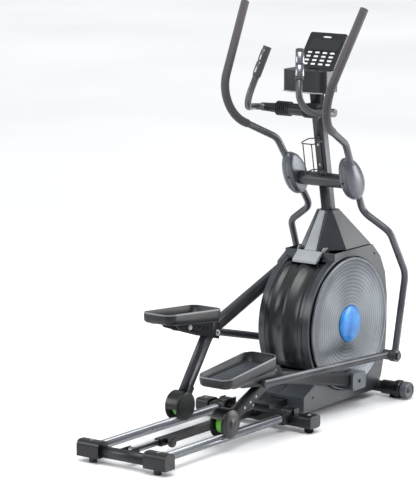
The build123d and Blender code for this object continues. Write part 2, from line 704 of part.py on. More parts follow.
def console_keys():
    """Four rows of four membrane keys."""
    face = console_face_plane()
    keys = []
    for row in range(4):
        for column in range(4):
            spot = Pos(-57 + 38 * column, 44 + 19 * row, 0)
            keys.append(extrude(face * spot * RectangleRounded(22, 9, 3), amount=1.2))
    return keys


def bottle_cage():
    """Wire cage on a strip screwed to the mast's rear face."""
    strip = block(-28, -25, -12, 12, -95, 75)
    cage = strip
    for z in (-80.0, 60.0):
        hoop = RectangleRounded(82, 80, 24) - RectangleRounded(72, 70, 19)
        cage += Pos(-69, 0, z) * extrude(hoop, amount=5)
    for y in (-22, 22):
        cage += block(-110, -105, y - 2.5, y + 2.5, -80, 62)
    cage += block(-110, -28, -2.5, 2.5, -80, -76)
    return mast_local(cage, 1105.0)


# ---- write every node --------------------------------------------------------------------------
def main():
    """Builds and writes all the nodes."""
    save("base_frame", base_frame())
    save("mid_crossbar", mid_crossbar())
    save("rail_hinges", *rail_hinges())
    save("end_caps", *end_caps())
    save("levelling_feet", *levelling_feet())
    save("front_stabilizer", front_stabilizer())
    save("transport_wheels", *transport_wheels())
    save("mast", mast())
    left_housing = lower_housing()
    save("housing_left", left_housing)
    save("housing_right", mirror(left_housing, Plane.XZ))
    save("rear_cover", rear_cover())
    save("upper_shroud", upper_shroud())
    save("trim_saddle", trim_saddle())
    save("swing_shaft", rod_y(30, -118, 118, *SWING_PIVOT) + rod_y(SHAFT_R, -176, 176, *SWING_PIVOT))
    save("power_inlet", power_inlet())
    save("handlebar", handlebar())
    save("handlebar_grips", *handlebar_grips())
    save("pulse_plates", *pulse_plates())
    save("handlebar_cover", handlebar_cover())
    save("console_case", console_case())
    save("console_keys", *console_keys())
    save("display_lens", display_lens())
    save("bottle_cage", bottle_cage())
    save("magnet_brake", magnet_brake())
    save("drive_belt", drive_belt())

    save("crank_axle", crank_axle())
    for name, disc in zip(("left", "right"), both(crank_disc())):
        save(f"crank_disc_{name}", disc)
    save("disc_caps", *both(hub_cap()))
    save("drive_pulley", drive_pulley())
    save("flywheel", flywheel())

    save("rail_frame", rail_frame())
    save("rear_end_caps", *rear_end_caps())
    save("brace_tube", brace_tube())
    save("brace_rod", brace_rod())
    save("lock_knob", lock_knob())

    arm = roller_arm_shape()
    swing = swing_arm_shape()
    for side in ("left", "right"):
        save(f"roller_axle_{side}", roller_axle(side))
        save(f"roller_wheel_{side}", roller_wheel(side))
        save(f"roller_arm_{side}", place_arm(arm, side))
        save(f"roller_fender_{side}", place_arm(fender_shape(), side))
        save(f"crank_end_cover_{side}", place_arm(crank_end_cover_shape(arm), side))
        save(f"pedal_link_{side}", place_link(pedal_link_shape(), side))
        save(f"pedal_{side}", place_link(pedal_shape(), side))
        save(f"swing_arm_{side}", on_side(swing, side))
        save(f"swing_grip_{side}", on_side(swing_grip_shape(), side))
        save(f"swing_bush_{side}", on_side(swing_bush_shape(), side))
        save(f"pivot_cover_{side}", on_side(pivot_cover_shape(swing), side))
        save(f"link_bolt_{side}", on_side(link_bolt_shape(), side))


main()
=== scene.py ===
"""Looks of an elliptical trainer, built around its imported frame.

Sizes are in millimetres, measured from the crank axle's plane, the machine's middle
plane and the floor.
The place functions turn them into the frame's metres.
"""

import json
import logging
import math
from dataclasses import dataclass, field
from enum import Enum
from functools import lru_cache
from typing import Any, Callable, Optional, Sequence

import bmesh
import bpy
from bpy.types import Material, Node, NodeSocket, NodeTree, Object
from mathutils import Matrix, Vector

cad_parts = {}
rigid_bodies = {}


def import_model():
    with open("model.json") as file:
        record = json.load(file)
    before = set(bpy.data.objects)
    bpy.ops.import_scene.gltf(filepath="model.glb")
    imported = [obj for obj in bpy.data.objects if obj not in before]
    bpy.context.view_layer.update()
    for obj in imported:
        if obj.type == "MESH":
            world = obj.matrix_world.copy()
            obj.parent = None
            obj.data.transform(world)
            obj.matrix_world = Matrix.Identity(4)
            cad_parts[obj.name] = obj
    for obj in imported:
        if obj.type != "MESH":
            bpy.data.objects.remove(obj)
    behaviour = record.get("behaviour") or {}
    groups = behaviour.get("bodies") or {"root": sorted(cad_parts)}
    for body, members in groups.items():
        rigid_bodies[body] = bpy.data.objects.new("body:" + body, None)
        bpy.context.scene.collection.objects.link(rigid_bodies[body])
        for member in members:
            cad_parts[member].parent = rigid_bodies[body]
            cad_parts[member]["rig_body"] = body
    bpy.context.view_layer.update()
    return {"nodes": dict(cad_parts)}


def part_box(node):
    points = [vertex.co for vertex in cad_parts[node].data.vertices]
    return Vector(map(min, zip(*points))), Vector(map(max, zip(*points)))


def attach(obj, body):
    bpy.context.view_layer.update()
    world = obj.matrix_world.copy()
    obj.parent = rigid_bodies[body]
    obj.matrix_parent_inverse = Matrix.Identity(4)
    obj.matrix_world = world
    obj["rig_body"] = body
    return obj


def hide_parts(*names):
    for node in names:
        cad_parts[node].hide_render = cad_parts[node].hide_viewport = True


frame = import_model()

logging.basicConfig(level=logging.INFO, format="%(message)s")
LOG = logging.getLogger("trainer")

MM = 0.001

CRANK_Z = 364.0
CRANK_R = 243.0
ARM_CHORD = 949.0
ROLLER_Z = 118.0
LINK_ALONG = 320.0
LINK_ABOVE = 132.0
LINK_LENGTH = 772.0
SWING_PIVOT = (2.0, 977.0)
SWING_FOOT = (142.0, 215.0)
MAST_LEAN = 10.7
MAST_FOOT = (103.3, 480.0)
BAR_TOP = (-311.0, 83.0, 1566.0)
BAR_BEND = (-398.0, 138.0, 1318.0)
CONSOLE_FOOT = (-92.0, 1445.0)
CONSOLE_TOP = (31.0, 1605.0)
REAR_BAR_X = -1390.0
MID_BAR_X = -491.0
FRONT_BAR_X = 254.0
RAIL_Y = 162.0

AXLE_X = sum(corner[0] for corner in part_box("crank_axle")) / 2


class Side(Enum):
    """Side of the machine, as its rider sees it."""

    LEFT = 1
    RIGHT = -1

    @property
    def word(self) -> str:
        """The side's name inside node and body names."""
        return self.name.lower()


# ---- places ----
def place(
    x: float = 0.0, y: float = 0.0, z: float = 0.0, turn: float = 0.0, side: Side = Side.LEFT
) -> Matrix:
    """Local frame in millimetres, turned about its Y axis, on one side of the machine.

    Args:
        x, y, z: the frame's origin.
        turn: turn about Y in degrees; negative raises the local X axis.
        side: RIGHT mirrors the frame across the middle plane.

    Returns:
        The matrix from local millimetres to the model's metres.
    """
    origin = Matrix.Translation(Vector((x, y, z)) * MM)
    mirror = Matrix.Diagonal((1.0, float(side.value), 1.0, 1.0))
    turned = Matrix.Rotation(math.radians(turn), 4, "Y")
    return Matrix.Translation((AXLE_X, 0, 0)) @ mirror @ origin @ turned @ Matrix.Scale(MM, 4)


def arm_slope(side: Side) -> tuple[float, float]:
    """Roller axle's x and the roller arm's slope in degrees, with the cranks upright."""
    rise = CRANK_Z + side.value * CRANK_R - ROLLER_Z
    axle_x = -math.sqrt(ARM_CHORD**2 - rise**2)
    return axle_x, math.degrees(math.atan2(rise, -axle_x))


def arm_place(side: Side) -> Matrix:
    """Frame of a roller arm: origin at its roller, X along its chord."""
    axle_x, slope = arm_slope(side)
    return place(axle_x, 0, ROLLER_Z, -slope, side)


def link_place(side: Side, tilt: float = 0.0) -> Matrix:
    """Frame of a pedal link: origin at its rear pivot, X towards the front one, with an extra tilt."""
    axle_x, slope = arm_slope(side)
    cos_s, sin_s = math.cos(math.radians(slope)), math.sin(math.radians(slope))
    rear_x = axle_x + LINK_ALONG * cos_s - LINK_ABOVE * sin_s
    rear_z = ROLLER_Z + LINK_ALONG * sin_s + LINK_ABOVE * cos_s
    rise = math.atan2(SWING_FOOT[1] - rear_z, SWING_FOOT[0] - rear_x)
    start_x = SWING_FOOT[0] - LINK_LENGTH * math.cos(rise)
    start_z = SWING_FOOT[1] - LINK_LENGTH * math.sin(rise)
    return place(start_x, 0, start_z, -math.degrees(rise) - tilt, side)


def mast_place(height: float) -> Matrix:
    """Frame on the mast's axis at a height, leaning with the mast."""
    x = MAST_FOOT[0] - (height - MAST_FOOT[1]) * math.tan(math.radians(MAST_LEAN))
    return place(x, 0, height, -MAST_LEAN)


def console_place() -> Matrix:
    """Frame of the console's face: X to the rider's right, Y up the face, Z to the rider."""
    up = Vector((CONSOLE_TOP[0] - CONSOLE_FOOT[0], 0, CONSOLE_TOP[1] - CONSOLE_FOOT[1])).normalized()
    across = Vector((0, -1, 0))
    turned = Matrix((across, up, across.cross(up))).transposed().to_4x4()
    origin = Matrix.Translation(Vector((CONSOLE_FOOT[0], 0, CONSOLE_FOOT[1])) * MM)
    return Matrix.Translation((AXLE_X, 0, 0)) @ origin @ turned @ Matrix.Scale(MM, 4)


# ---- nodes ----
def add_node(
    tree: NodeTree, kind: str, settings: Optional[dict] = None, inputs: Optional[dict] = None
) -> Node:
    """Adds one node to a tree.

    Args:
        tree: a material's or a Geometry Nodes tree.
        kind: the node's type name.
        settings: the node's own properties.
        inputs: values, or sockets to link from, by input name or number.

    Returns:
        The new node.
    """
    node = tree.nodes.new(kind)
    for name, value in (settings or {}).items():
        setattr(node, name, value)
    for name, value in (inputs or {}).items():
        if isinstance(value, NodeSocket):
            tree.links.new(value, node.inputs[name])
        else:
            node.inputs[name].default_value = value
    return node


def linear(hex_colour: str) -> tuple[float, float, float, float]:
    """sRGB hex value as linear colour with full alpha."""
    parts = [int(hex_colour[i : i + 2], 16) / 255 for i in (1, 3, 5)]
    return (*[p / 12.92 if p <= 0.04045 else ((p + 0.055) / 1.055) ** 2.4 for p in parts], 1.0)


# ---- finishes ----
GRAIN_SHARE = 0.35          # weight of the grain against the blotches in the colour
RAMP_STOPS = (0.45, 0.9)    # pattern values that get the dark and the light colour
BLOTCH_SPAN = (0.3, 0.7)    # blotch values between which the roughness varies
COAT_ROUGHNESS = 0.06
WAVE_PERIOD = 2 * math.pi / 20    # the wave texture's period at a scale of 1


@dataclass(frozen=True)
class Finish:
    """A real material with its surface; the base kind is a moulded plastic with a fine eroded grain.

    The dark and light colours mix in soft blotches, and roughness varies with them, as on
    handled parts.
    """

    name: str
    slot: str
    dark: str
    light: str
    rough: tuple[float, float] = (0.4, 0.5)
    metallic: float = 0.0
    grain_mm: float = 4.0
    grain_depth_mm: float = 0.12
    blotch_mm: float = 160.0
    coat: float = 0.0
    sheen: float = 0.0
    specular: float = 0.5

    def grain(self, tree: NodeTree, spot: NodeSocket) -> NodeSocket:
        """Height pattern of the surface: grain drawn a few millimetres wide so that it shows."""
        inputs = {"Vector": spot, "Scale": 1 / (self.grain_mm * MM), "Detail": 3.0, "Roughness": 0.6}
        return add_node(tree, "ShaderNodeTexNoise", None, inputs).outputs["Fac"]

    def place_of(self, tree: NodeTree) -> NodeSocket:
        """Coordinates that the patterns follow, in metres."""
        return add_node(tree, "ShaderNodeTexCoord").outputs["Object"]

    def make(self) -> Material:
        """Builds the material."""
        material = bpy.data.materials.new(self.name)
        material.use_nodes = True
        tree = material.node_tree
        shader = tree.nodes["Principled BSDF"]
        spot = self.place_of(tree)
        grain = self.grain(tree, spot)
        blotch_inputs = {"Vector": spot, "Scale": 1 / (self.blotch_mm * MM), "Detail": 4.0}
        blotch = add_node(tree, "ShaderNodeTexNoise", None, blotch_inputs).outputs["Fac"]
        mix_inputs = {0: grain, 1: GRAIN_SHARE, 2: blotch}
        mixed = add_node(tree, "ShaderNodeMath", {"operation": "MULTIPLY_ADD"}, mix_inputs)
        ramp = add_node(tree, "ShaderNodeValToRGB", None, {"Fac": mixed.outputs[0]})
        for i, colour in enumerate((self.dark, self.light)):
            ramp.color_ramp.elements[i].position = RAMP_STOPS[i]
            ramp.color_ramp.elements[i].color = linear(colour)
        tree.links.new(ramp.outputs["Color"], shader.inputs["Base Color"])
        rough_inputs = {"Value": blotch, "From Min": BLOTCH_SPAN[0], "From Max": BLOTCH_SPAN[1]}
        rough_inputs.update({"To Min": self.rough[0], "To Max": self.rough[1]})
        rough = add_node(tree, "ShaderNodeMapRange", None, rough_inputs)
        tree.links.new(rough.outputs["Result"], shader.inputs["Roughness"])
        if self.grain_depth_mm:
            bump_inputs = {"Height": grain, "Distance": self.grain_depth_mm * MM, "Strength": 1.0}
            bump = add_node(tree, "ShaderNodeBump", None, bump_inputs)
            tree.links.new(bump.outputs["Normal"], shader.inputs["Normal"])
        shader.inputs["Metallic"].default_value = self.metallic
        shader.inputs["Coat Weight"].default_value = self.coat
        shader.inputs["Coat Roughness"].default_value = COAT_ROUGHNESS
        shader.inputs["Sheen Weight"].default_value = self.sheen
        if not self.metallic:
            shader.inputs["Specular IOR Level"].default_value = self.specular
        return material


@dataclass(frozen=True)
class PowderCoat(Finish):
    """Powder-coated steel: fused droplets leave an even orange peel."""

    def grain(self, tree: NodeTree, spot: NodeSocket) -> NodeSocket:
        """Soft round cells."""
        inputs = {"Vector": spot, "Scale": 1 / (self.grain_mm * MM), "Smoothness": 1.0}
        cells = add_node(tree, "ShaderNodeTexVoronoi", {"feature": "SMOOTH_F1"}, inputs)
        return cells.outputs["Distance"]


@dataclass(frozen=True)
class Foam(Finish):
    """Closed-cell foam sleeve: small pits and a dull, slightly fuzzy surface."""

    def grain(self, tree: NodeTree, spot: NodeSocket) -> NodeSocket:
        """Sharp-edged cells."""
        inputs = {"Vector": spot, "Scale": 1 / (self.grain_mm * MM)}
        return add_node(tree, "ShaderNodeTexVoronoi", {"feature": "F1"}, inputs).outputs["Distance"]


@dataclass(frozen=True)
class TurnedMetal(Finish):
    """Spun or drawn metal: fine rings round the crank's axis, drawn wide enough to show."""

    def place_of(self, tree: NodeTree) -> NodeSocket:
        """Coordinates centred on the crank axle."""
        spot = add_node(tree, "ShaderNodeTexCoord").outputs["Object"]
        inputs = {"Vector": spot, "Location": (-AXLE_X, 0.0, -CRANK_Z * MM)}
        return add_node(tree, "ShaderNodeMapping", None, inputs).outputs["Vector"]

    def grain(self, tree: NodeTree, spot: NodeSocket) -> NodeSocket:
        """Rings at the grain's spacing, broken by a little noise."""
        settings = {"wave_type": "RINGS", "rings_direction": "Y"}
        inputs = {"Vector": spot, "Scale": WAVE_PERIOD / (self.grain_mm * MM)}
        inputs.update({"Distortion": 1.5, "Detail": 2.0, "Detail Scale": 0.4})
        return add_node(tree, "ShaderNodeTexWave", settings, inputs).outputs["Fac"]


FRAME_BLACK = PowderCoat(
    "black_powder_coated_steel", "frame_black", "#0B0C0E", "#15171A", (0.34, 0.44), specular=0.4
)
TUBE_GREY = PowderCoat(
    "grey_metallic_powder_coat", "tube_grey", "#45464A", "#5C5D61", (0.28, 0.36), metallic=0.5
)
MAST_GREY = PowderCoat(
    "dark_grey_powder_coat", "mast_grey", "#2E3034", "#3E4045", (0.32, 0.4), metallic=0.35
)
CAP_BLACK = Finish(
    "black_moulded_nylon", "cap_black", "#08090B", "#101215", (0.28, 0.4), specular=0.4
)
RUBBER = Finish("black_rubber", "rubber_foot", "#090A0B", "#131415", (0.6, 0.75), specular=0.25)
WHEEL_GREY = Finish("grey_moulded_nylon", "wheel_grey", "#3E4247", "#555A60", (0.35, 0.5))
HOUSING = Finish(
    "charcoal_satin_abs", "housing_grey", "#22262B", "#31363C", (0.28, 0.38), grain_mm=5.0
)
GLOSS = Finish(
    "black_gloss_abs", "cover_gloss", "#0C0E10", "#14181A", (0.3, 0.34), grain_depth_mm=0.0,
    blotch_mm=400.0
)
TRIM = Finish("light_grey_abs", "trim_light", "#84888C", "#9DA1A5", (0.35, 0.45))
DISC = TurnedMetal(
    "silver_painted_disc", "disc_silver", "#4E5257", "#6E7277", (0.3, 0.38), metallic=0.85,
    grain_mm=16.0, grain_depth_mm=0.0
)
CAP_BLUE = Finish(
    "blue_anodised_cap", "cap_blue", "#0760AC", "#0F86D0", (0.3, 0.36), metallic=0.2,
    grain_mm=5.0, grain_depth_mm=0.0, blotch_mm=60.0, coat=0.15
)
GREEN = Finish("green_polyurethane", "roller_green", "#4FA81E", "#7AC843", (0.35, 0.5))
CHROME = Finish(
    "chromed_steel", "chrome", "#777A7F", "#94979C", (0.26, 0.32), metallic=1.0, grain_mm=9.0,
    grain_depth_mm=0.0
)
STEEL = Finish(
    "zinc_plated_steel", "steel", "#8D9095", "#B5B8BC", (0.25, 0.4), metallic=1.0, grain_mm=5.0,
    grain_depth_mm=0.01
)
BRONZE = Finish("sintered_bronze", "bronze", "#8A6A3A", "#A98550", (0.35, 0.5), metallic=1.0)
IRON = TurnedMetal(
    "turned_cast_iron", "iron", "#4B4D50", "#66686B", (0.35, 0.5), metallic=1.0, grain_mm=6.0,
    grain_depth_mm=0.02
)
BELT = Finish("black_ribbed_belt", "belt", "#0C0C0D", "#161617", (0.6, 0.8), specular=0.3)
PEDAL = Finish(
    "black_ribbed_pp", "pedal_grey", "#0D0E10", "#191B1E", (0.32, 0.46), grain_mm=5.0, specular=0.4
)
# Painted highlight: the black pedal tray's top lip is drawn light grey where its edge catches the
# light.
PEDAL_RIM_HIGHLIGHT = Finish("worn_pedal_rim", "pedal_grey", "#5B5E62", "#7A7D81", (0.3, 0.45))
SLATE = Finish("slate_abs", "pedal_grey", "#30363C", "#454C54", (0.26, 0.36))
COVER_SILVER = Finish(
    "silver_grey_abs", "cover_silver", "#484B50", "#60646A", (0.24, 0.34), metallic=0.35
)
FOAM = Foam(
    "grey_black_foam", "foam", "#2A282B", "#3C393D", (0.65, 0.8), grain_mm=3.5, grain_depth_mm=0.4,
    sheen=0.15
)
CONSOLE = Finish(
    "black_console_abs", "console_black", "#0C0D10", "#16181B", (0.25, 0.36), specular=0.4
)
KEY_WHITE = Finish("white_silicone_key", "key_white", "#B9BCC0", "#DADCDF", (0.4, 0.55))
LENS = Finish(
    "smoked_display_glass", "lens", "#06090B", "#0F1619", (0.05, 0.1), grain_depth_mm=0.0, coat=0.5
)
WIRE = PowderCoat("black_coated_wire", "wire", "#101113", "#1C1E20", (0.3, 0.4))


@lru_cache(maxsize=None)
def material_of(finish: Finish) -> Material:
    """The finish's material, made once."""
    return finish.make()


# ---- shapes ----
WELD_MM = 0.02              # points of a CAD mesh closer than this are one
FLAT_ANGLE = 0.6            # faces of a CAD mesh at less than this angle are one
SHARP_ANGLE = 38.0
BEVEL_ANGLE = 40.0
BEVEL_SEGMENTS = 3


def circle(radius: float, sides: int) -> list[tuple[float, float]]:
    """Points round a circle."""
    turns = [2 * math.pi * i / sides for i in range(sides)]
    return [(radius * math.cos(t), radius * math.sin(t)) for t in turns]


def body_of(node: str) -> str:
    """Body that a CAD node rides on."""
    return frame["nodes"][node]["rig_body"]


def smooth(obj: Object, sharp: float) -> None:
    """Shades an object smooth, with edges over an angle in degrees kept sharp."""
    obj.data.shade_smooth()
    obj.data.set_sharp_from_angle(angle=math.radians(sharp))


def declare(obj: Object, body: str, nodes: Sequence[str] = ()) -> Object:
    """Puts a piece on the body that it rides on, and hides the CAD nodes that it stands for."""
    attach(obj, body)
    if nodes:
        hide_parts(*nodes)
    LOG.info("%s: %d faces on %s", obj.name, len(obj.data.polygons), body)
    return obj


class Shape:
    """A mesh under construction in a local frame in millimetres."""

    def __init__(self, where: Matrix) -> None:
        """Starts an empty shape in a local frame."""
        self.where = where
        self.mesh = bmesh.new()
        self.index = 0
        self.from_cad = False

    def ring(self, points: Sequence[Sequence[float]]) -> list:
        """Adds points and returns their vertices."""
        return [self.mesh.verts.new(self.where @ Vector(point)) for point in points]

    def face(self, verts: Sequence[Any]) -> None:
        """Adds one face in the current finish."""
        self.mesh.faces.new(verts).material_index = self.index

    def loft(self, sections: Sequence[Sequence[Sequence[float]]], closed: bool = False) -> "Shape":
        """Joins sections with equal point counts, and caps the ends.

        Args:
            sections: closed outlines, one after another; a single point is a pole.
            closed: True joins the last section to the first instead of capping.

        Returns:
            The shape itself.
        """
        rings = [self.ring(section) for section in sections]
        pairs = list(zip(rings, rings[1:]))
        if closed:
            pairs.append((rings[-1], rings[0]))
        for low, high in pairs:
            count = max(len(low), len(high))
            for i in range(count):
                j = (i + 1) % count
                if len(low) == 1:
                    self.face((low[0], high[i], high[j]))
                elif len(high) == 1:
                    self.face((low[i], low[j], high[0]))
                else:
                    self.face((low[i], low[j], high[j], high[i]))
        if not closed:
            for end in (rings[0], rings[-1]):
                if len(end) > 2:
                    self.face(end)
        return self

    def lathe(self, profile: Sequence[tuple[float, float]], segments: int = 48) -> "Shape":
        """Turns a profile of (radius, y) about the local Y axis."""
        sections = []
        for radius, y in profile:
            if radius <= 0:
                sections.append([(0, y, 0)])
            else:
                sections.append([(x, y, z) for x, z in circle(radius, segments)])
        return self.loft(sections)

    def tube(
        self, path: Sequence[Sequence[float]], radius: float, closed: bool = False, sides: int = 10
    ) -> "Shape":
        """Runs a round section along a path of points."""
        points = [Vector(p) for p in path]
        count = len(points)
        sections = []
        up = Vector((0.31, 0.87, 0.38))
        for i, point in enumerate(points):
            before = points[i - 1] if i or closed else point
            after = points[(i + 1) % count] if i < count - 1 or closed else point
            ahead = (after - before).normalized()
            across = ahead.cross(up).normalized()
            up = across.cross(ahead).normalized()
            sections.append([point + radius * (across * c + up * s) for c, s in circle(1.0, sides)])
        return self.loft(sections, closed)

    def prism(self, outline: Sequence[tuple[float, float]], y0: float, y1: float) -> "Shape":
        """Plate with an outline in local X and Z between two y values."""
        return self.loft([[(x, y, z) for x, z in outline] for y in (y0, y1)])

    def copy(self, node: str, flat: bool = True) -> "Shape":
        """Takes over a CAD node's surface, with its loose triangles merged.

        Args:
            node: the CAD node.
            flat: True joins triangles in one plane into one face, which round tubes don't need.

        Returns:
            The shape itself.
        """
        self.mesh.from_mesh(frame["nodes"][node].data)
        bmesh.ops.remove_doubles(self.mesh, verts=self.mesh.verts, dist=WELD_MM * MM)
        if flat:
            bmesh.ops.dissolve_limit(
                self.mesh, angle_limit=math.radians(FLAT_ANGLE), use_dissolve_boundaries=False,
                verts=self.mesh.verts, edges=self.mesh.edges
            )
        self.from_cad = True
        return self

    def recolour(self, index: int, rule: Callable[[Vector], bool]) -> "Shape":
        """Gives that finish to the faces whose centre, in local millimetres, meets a rule."""
        back = self.where.inverted()
        for face in self.mesh.faces:
            if rule(back @ face.calc_center_median()):
                face.material_index = index
        return self

    def piece(
        self, name: str, body: str, finishes: Sequence[Finish], nodes: Sequence[str] = (),
        edge: float = 0.0, sharp: float = SHARP_ANGLE
    ) -> Object:
        """Finishes the shape as a piece of the model.

        Args:
            name: the piece's name.
            body: the body that it rides on.
            finishes: its finishes, in the order of their material indices.
            nodes: CAD nodes that it stands for.
            edge: rounding of its edges in millimetres.
            sharp: angle in degrees past which an edge stays sharp.

        Returns:
            The new object.
        """
        if not self.from_cad:
            bmesh.ops.remove_doubles(self.mesh, verts=self.mesh.verts, dist=0.005 * MM)
            bmesh.ops.recalc_face_normals(self.mesh, faces=self.mesh.faces)
        data = bpy.data.meshes.new(name)
        self.mesh.to_mesh(data)
        self.mesh.free()
        for finish in finishes:
            data.materials.append(material_of(finish))
        obj = bpy.data.objects.new(name, data)
        bpy.context.scene.collection.objects.link(obj)
        smooth(obj, sharp)
        if edge:
            bevel = obj.modifiers.new("edges", "BEVEL")
            bevel.width = edge * MM
            bevel.segments = BEVEL_SEGMENTS
            bevel.limit_method = "ANGLE"
            bevel.angle_limit = math.radians(BEVEL_ANGLE)
            bevel.harden_normals = True
        return declare(obj, body, nodes)


def rounded_outline(
    half_x: float, half_y: float, radius: float, steps: int = 6
) -> list[tuple[float, float]]:
    """Rectangle with round corners, as points round its middle."""
    points = []
    for corner in range(4):
        sign_x, sign_y = ((1, 1), (-1, 1), (-1, -1), (1, -1))[corner]
        for i in range(steps + 1):
            angle = math.radians(90 * (corner + i / steps))
            x = sign_x * (half_x - radius) + radius * math.cos(angle)
            y = sign_y * (half_y - radius) + radius * math.sin(angle)
            points.append((x, y))
    return points


@dataclass(frozen=True)
class Part:
    """A part whose CAD shape is right, with its edges rounded as they were moulded or ground."""

    node: str
    finish: Finish
    edge: float = 0.0
    other: Optional[Finish] = None
    rule: Optional[Callable[[Vector], bool]] = None

    def build(self) -> Object:
        """Makes the part's piece, with its other finish where the rule holds."""
        shape = Shape(place()).copy(self.node, flat=self.edge > 0)
        finishes = [self.finish]
        if self.other and self.rule:
            shape.recolour(1, self.rule)
            finishes.append(self.other)
        return shape.piece(f"{self.node}_skin", body_of(self.node), finishes, [self.node], self.edge)


@dataclass(frozen=True)
class InnerPart:
    """A part that stays as the CAD made it, inside the housing or a bearing."""

    node: str
    finish: Finish

    def build(self) -> None:
        """Gives the CAD node its finish."""
        for slot in frame["nodes"][self.node].material_slots:
            slot.material = material_of(self.finish)
        LOG.info("%s keeps its CAD shape", self.node)


# ---- Geometry Nodes ----
INT, FLOAT, VECTOR = "NodeSocketInt", "NodeSocketFloat", "NodeSocketVector"
GEOMETRY = "NodeSocketGeometry"


class Grown:
    """A Geometry Nodes tree with named inputs, which grows plain meshes for repeated details."""

    def __init__(self, name: str, sizes: dict[str, str]) -> None:
        """Starts a tree.

        Args:
            name: the tree's name.
            sizes: kind of socket by input name.
        """
        self.tree = bpy.data.node_groups.new(name, "GeometryNodeTree")
        sockets = {"Points": GEOMETRY, **sizes, "Finish": "NodeSocketMaterial"}
        for label, kind in sockets.items():
            self.tree.interface.new_socket(name=label, in_out="INPUT", socket_type=kind)
        self.tree.interface.new_socket(name="Mesh", in_out="OUTPUT", socket_type=GEOMETRY)
        self.given = add_node(self.tree, "NodeGroupInput").outputs

    def times(self, socket: NodeSocket, factor: float) -> NodeSocket:
        """A size multiplied by a factor."""
        inputs = {0: socket, 1: factor}
        return add_node(self.tree, "ShaderNodeMath", {"operation": "MULTIPLY"}, inputs).outputs[0]

    def aimed(self, direction: NodeSocket) -> NodeSocket:
        """Rotation that turns Z to a direction."""
        inputs = {"Vector": direction}
        turn = add_node(self.tree, "FunctionNodeAlignRotationToVector", {"axis": "Z"}, inputs)
        return turn.outputs[0]

    def repeated(self, inputs: dict[str, NodeSocket]) -> NodeSocket:
        """One instance on each point."""
        return add_node(self.tree, "GeometryNodeInstanceOnPoints", None, inputs).outputs[0]

    def finish(self, geometry: NodeSocket) -> None:
        """Ends the tree with real geometry in the given finish."""
        real = add_node(self.tree, "GeometryNodeRealizeInstances", None, {"Geometry": geometry})
        inputs = {"Geometry": real.outputs[0], "Material": self.given["Finish"]}
        dressed = add_node(self.tree, "GeometryNodeSetMaterial", None, inputs)
        add_node(self.tree, "NodeGroupOutput", None, {"Mesh": dressed.outputs[0]})

    def grow(
        self, name: str, body: str, finish: Finish, values: dict[str, Any],
        seeds: Optional[list] = None
    ) -> Object:
        """Grows one piece.

        Args:
            name: the piece's name.
            body: the body that it rides on.
            finish: its finish.
            values: the tree's inputs by name, in metres.
            seeds: points with the direction that each looks in.

        Returns:
            The piece, as a plain mesh.
        """
        data = bpy.data.meshes.new(name)
        if seeds:
            data.from_pydata([tuple(point) for point, _ in seeds], [], [])
            aims = data.attributes.new("aim", "FLOAT_VECTOR", "POINT")
            for item, (_, aim) in zip(aims.data, seeds):
                item.vector = aim
        obj = bpy.data.objects.new(name, data)
        bpy.context.scene.collection.objects.link(obj)
        modifier = obj.modifiers.new("grown", "NODES")
        modifier.node_group = self.tree
        values = {**values, "Finish": material_of(finish)}
        for item in self.tree.interface.items_tree:
            if item.in_out == "INPUT" and item.name in values:
                modifier[item.identifier] = values[item.name]
        obj.update_tag()
        seen = obj.evaluated_get(bpy.context.evaluated_depsgraph_get())
        grown = bpy.data.meshes.new_from_object(seen)
        obj.modifiers.clear()
        obj.data = grown
        grown.name = name
        smooth(obj, 40)
        return declare(obj, body)


class ScrewHeads(Grown):
    """Flanged screw heads on points, each looking along its own direction."""

    def __init__(self) -> None:
        """Builds the tree: a flat flange with a smaller head on it."""
        super().__init__("screw_heads", {"Radius": FLOAT, "Sides": INT})
        flange = self.cone(20, 0.9, 1.0, 0.22)
        head = self.cone(self.given["Sides"], 0.55, 0.66, 0.6)
        screw = add_node(self.tree, "GeometryNodeJoinGeometry")
        self.tree.links.new(flange, screw.inputs[0])
        self.tree.links.new(head, screw.inputs[0])
        settings = {"data_type": "FLOAT_VECTOR"}
        aim = add_node(self.tree, "GeometryNodeInputNamedAttribute", settings, {"Name": "aim"})
        inputs = {"Points": self.given["Points"], "Instance": screw.outputs[0]}
        inputs["Rotation"] = self.aimed(aim.outputs[0])
        self.finish(self.repeated(inputs))

    def cone(self, sides: Any, top: float, foot: float, depth: float) -> NodeSocket:
        """Cut cone, its sizes given as shares of the screw's radius."""
        radius = self.given["Radius"]
        inputs = {"Vertices": sides, "Radius Top": self.times(radius, top)}
        inputs["Radius Bottom"] = self.times(radius, foot)
        inputs["Depth"] = self.times(radius, depth)
        return add_node(self.tree, "GeometryNodeMeshCone", None, inputs).outputs["Mesh"]

    def put(
        self, name: str, body: str, spots: list, radius: float, finish: Finish = FRAME_BLACK,
        sides: int = 6
    ) -> None:
        """Sets screws into a body.

        Args:
            name: the piece's name.
            body: the body that they ride on.
            spots: for each screw its local frame, its point in it and its direction.
            radius: the flange's radius in millimetres.
            finish: the screws' finish.
            sides: sides of the head.
        """
        seeds = []
        for where, point, aim in spots:
            start = where @ Vector(point)
            seeds.append((start, ((where @ (Vector(point) + Vector(aim))) - start).normalized()))
        self.grow(name, body, finish, {"Radius": radius * MM, "Sides": sides}, seeds)


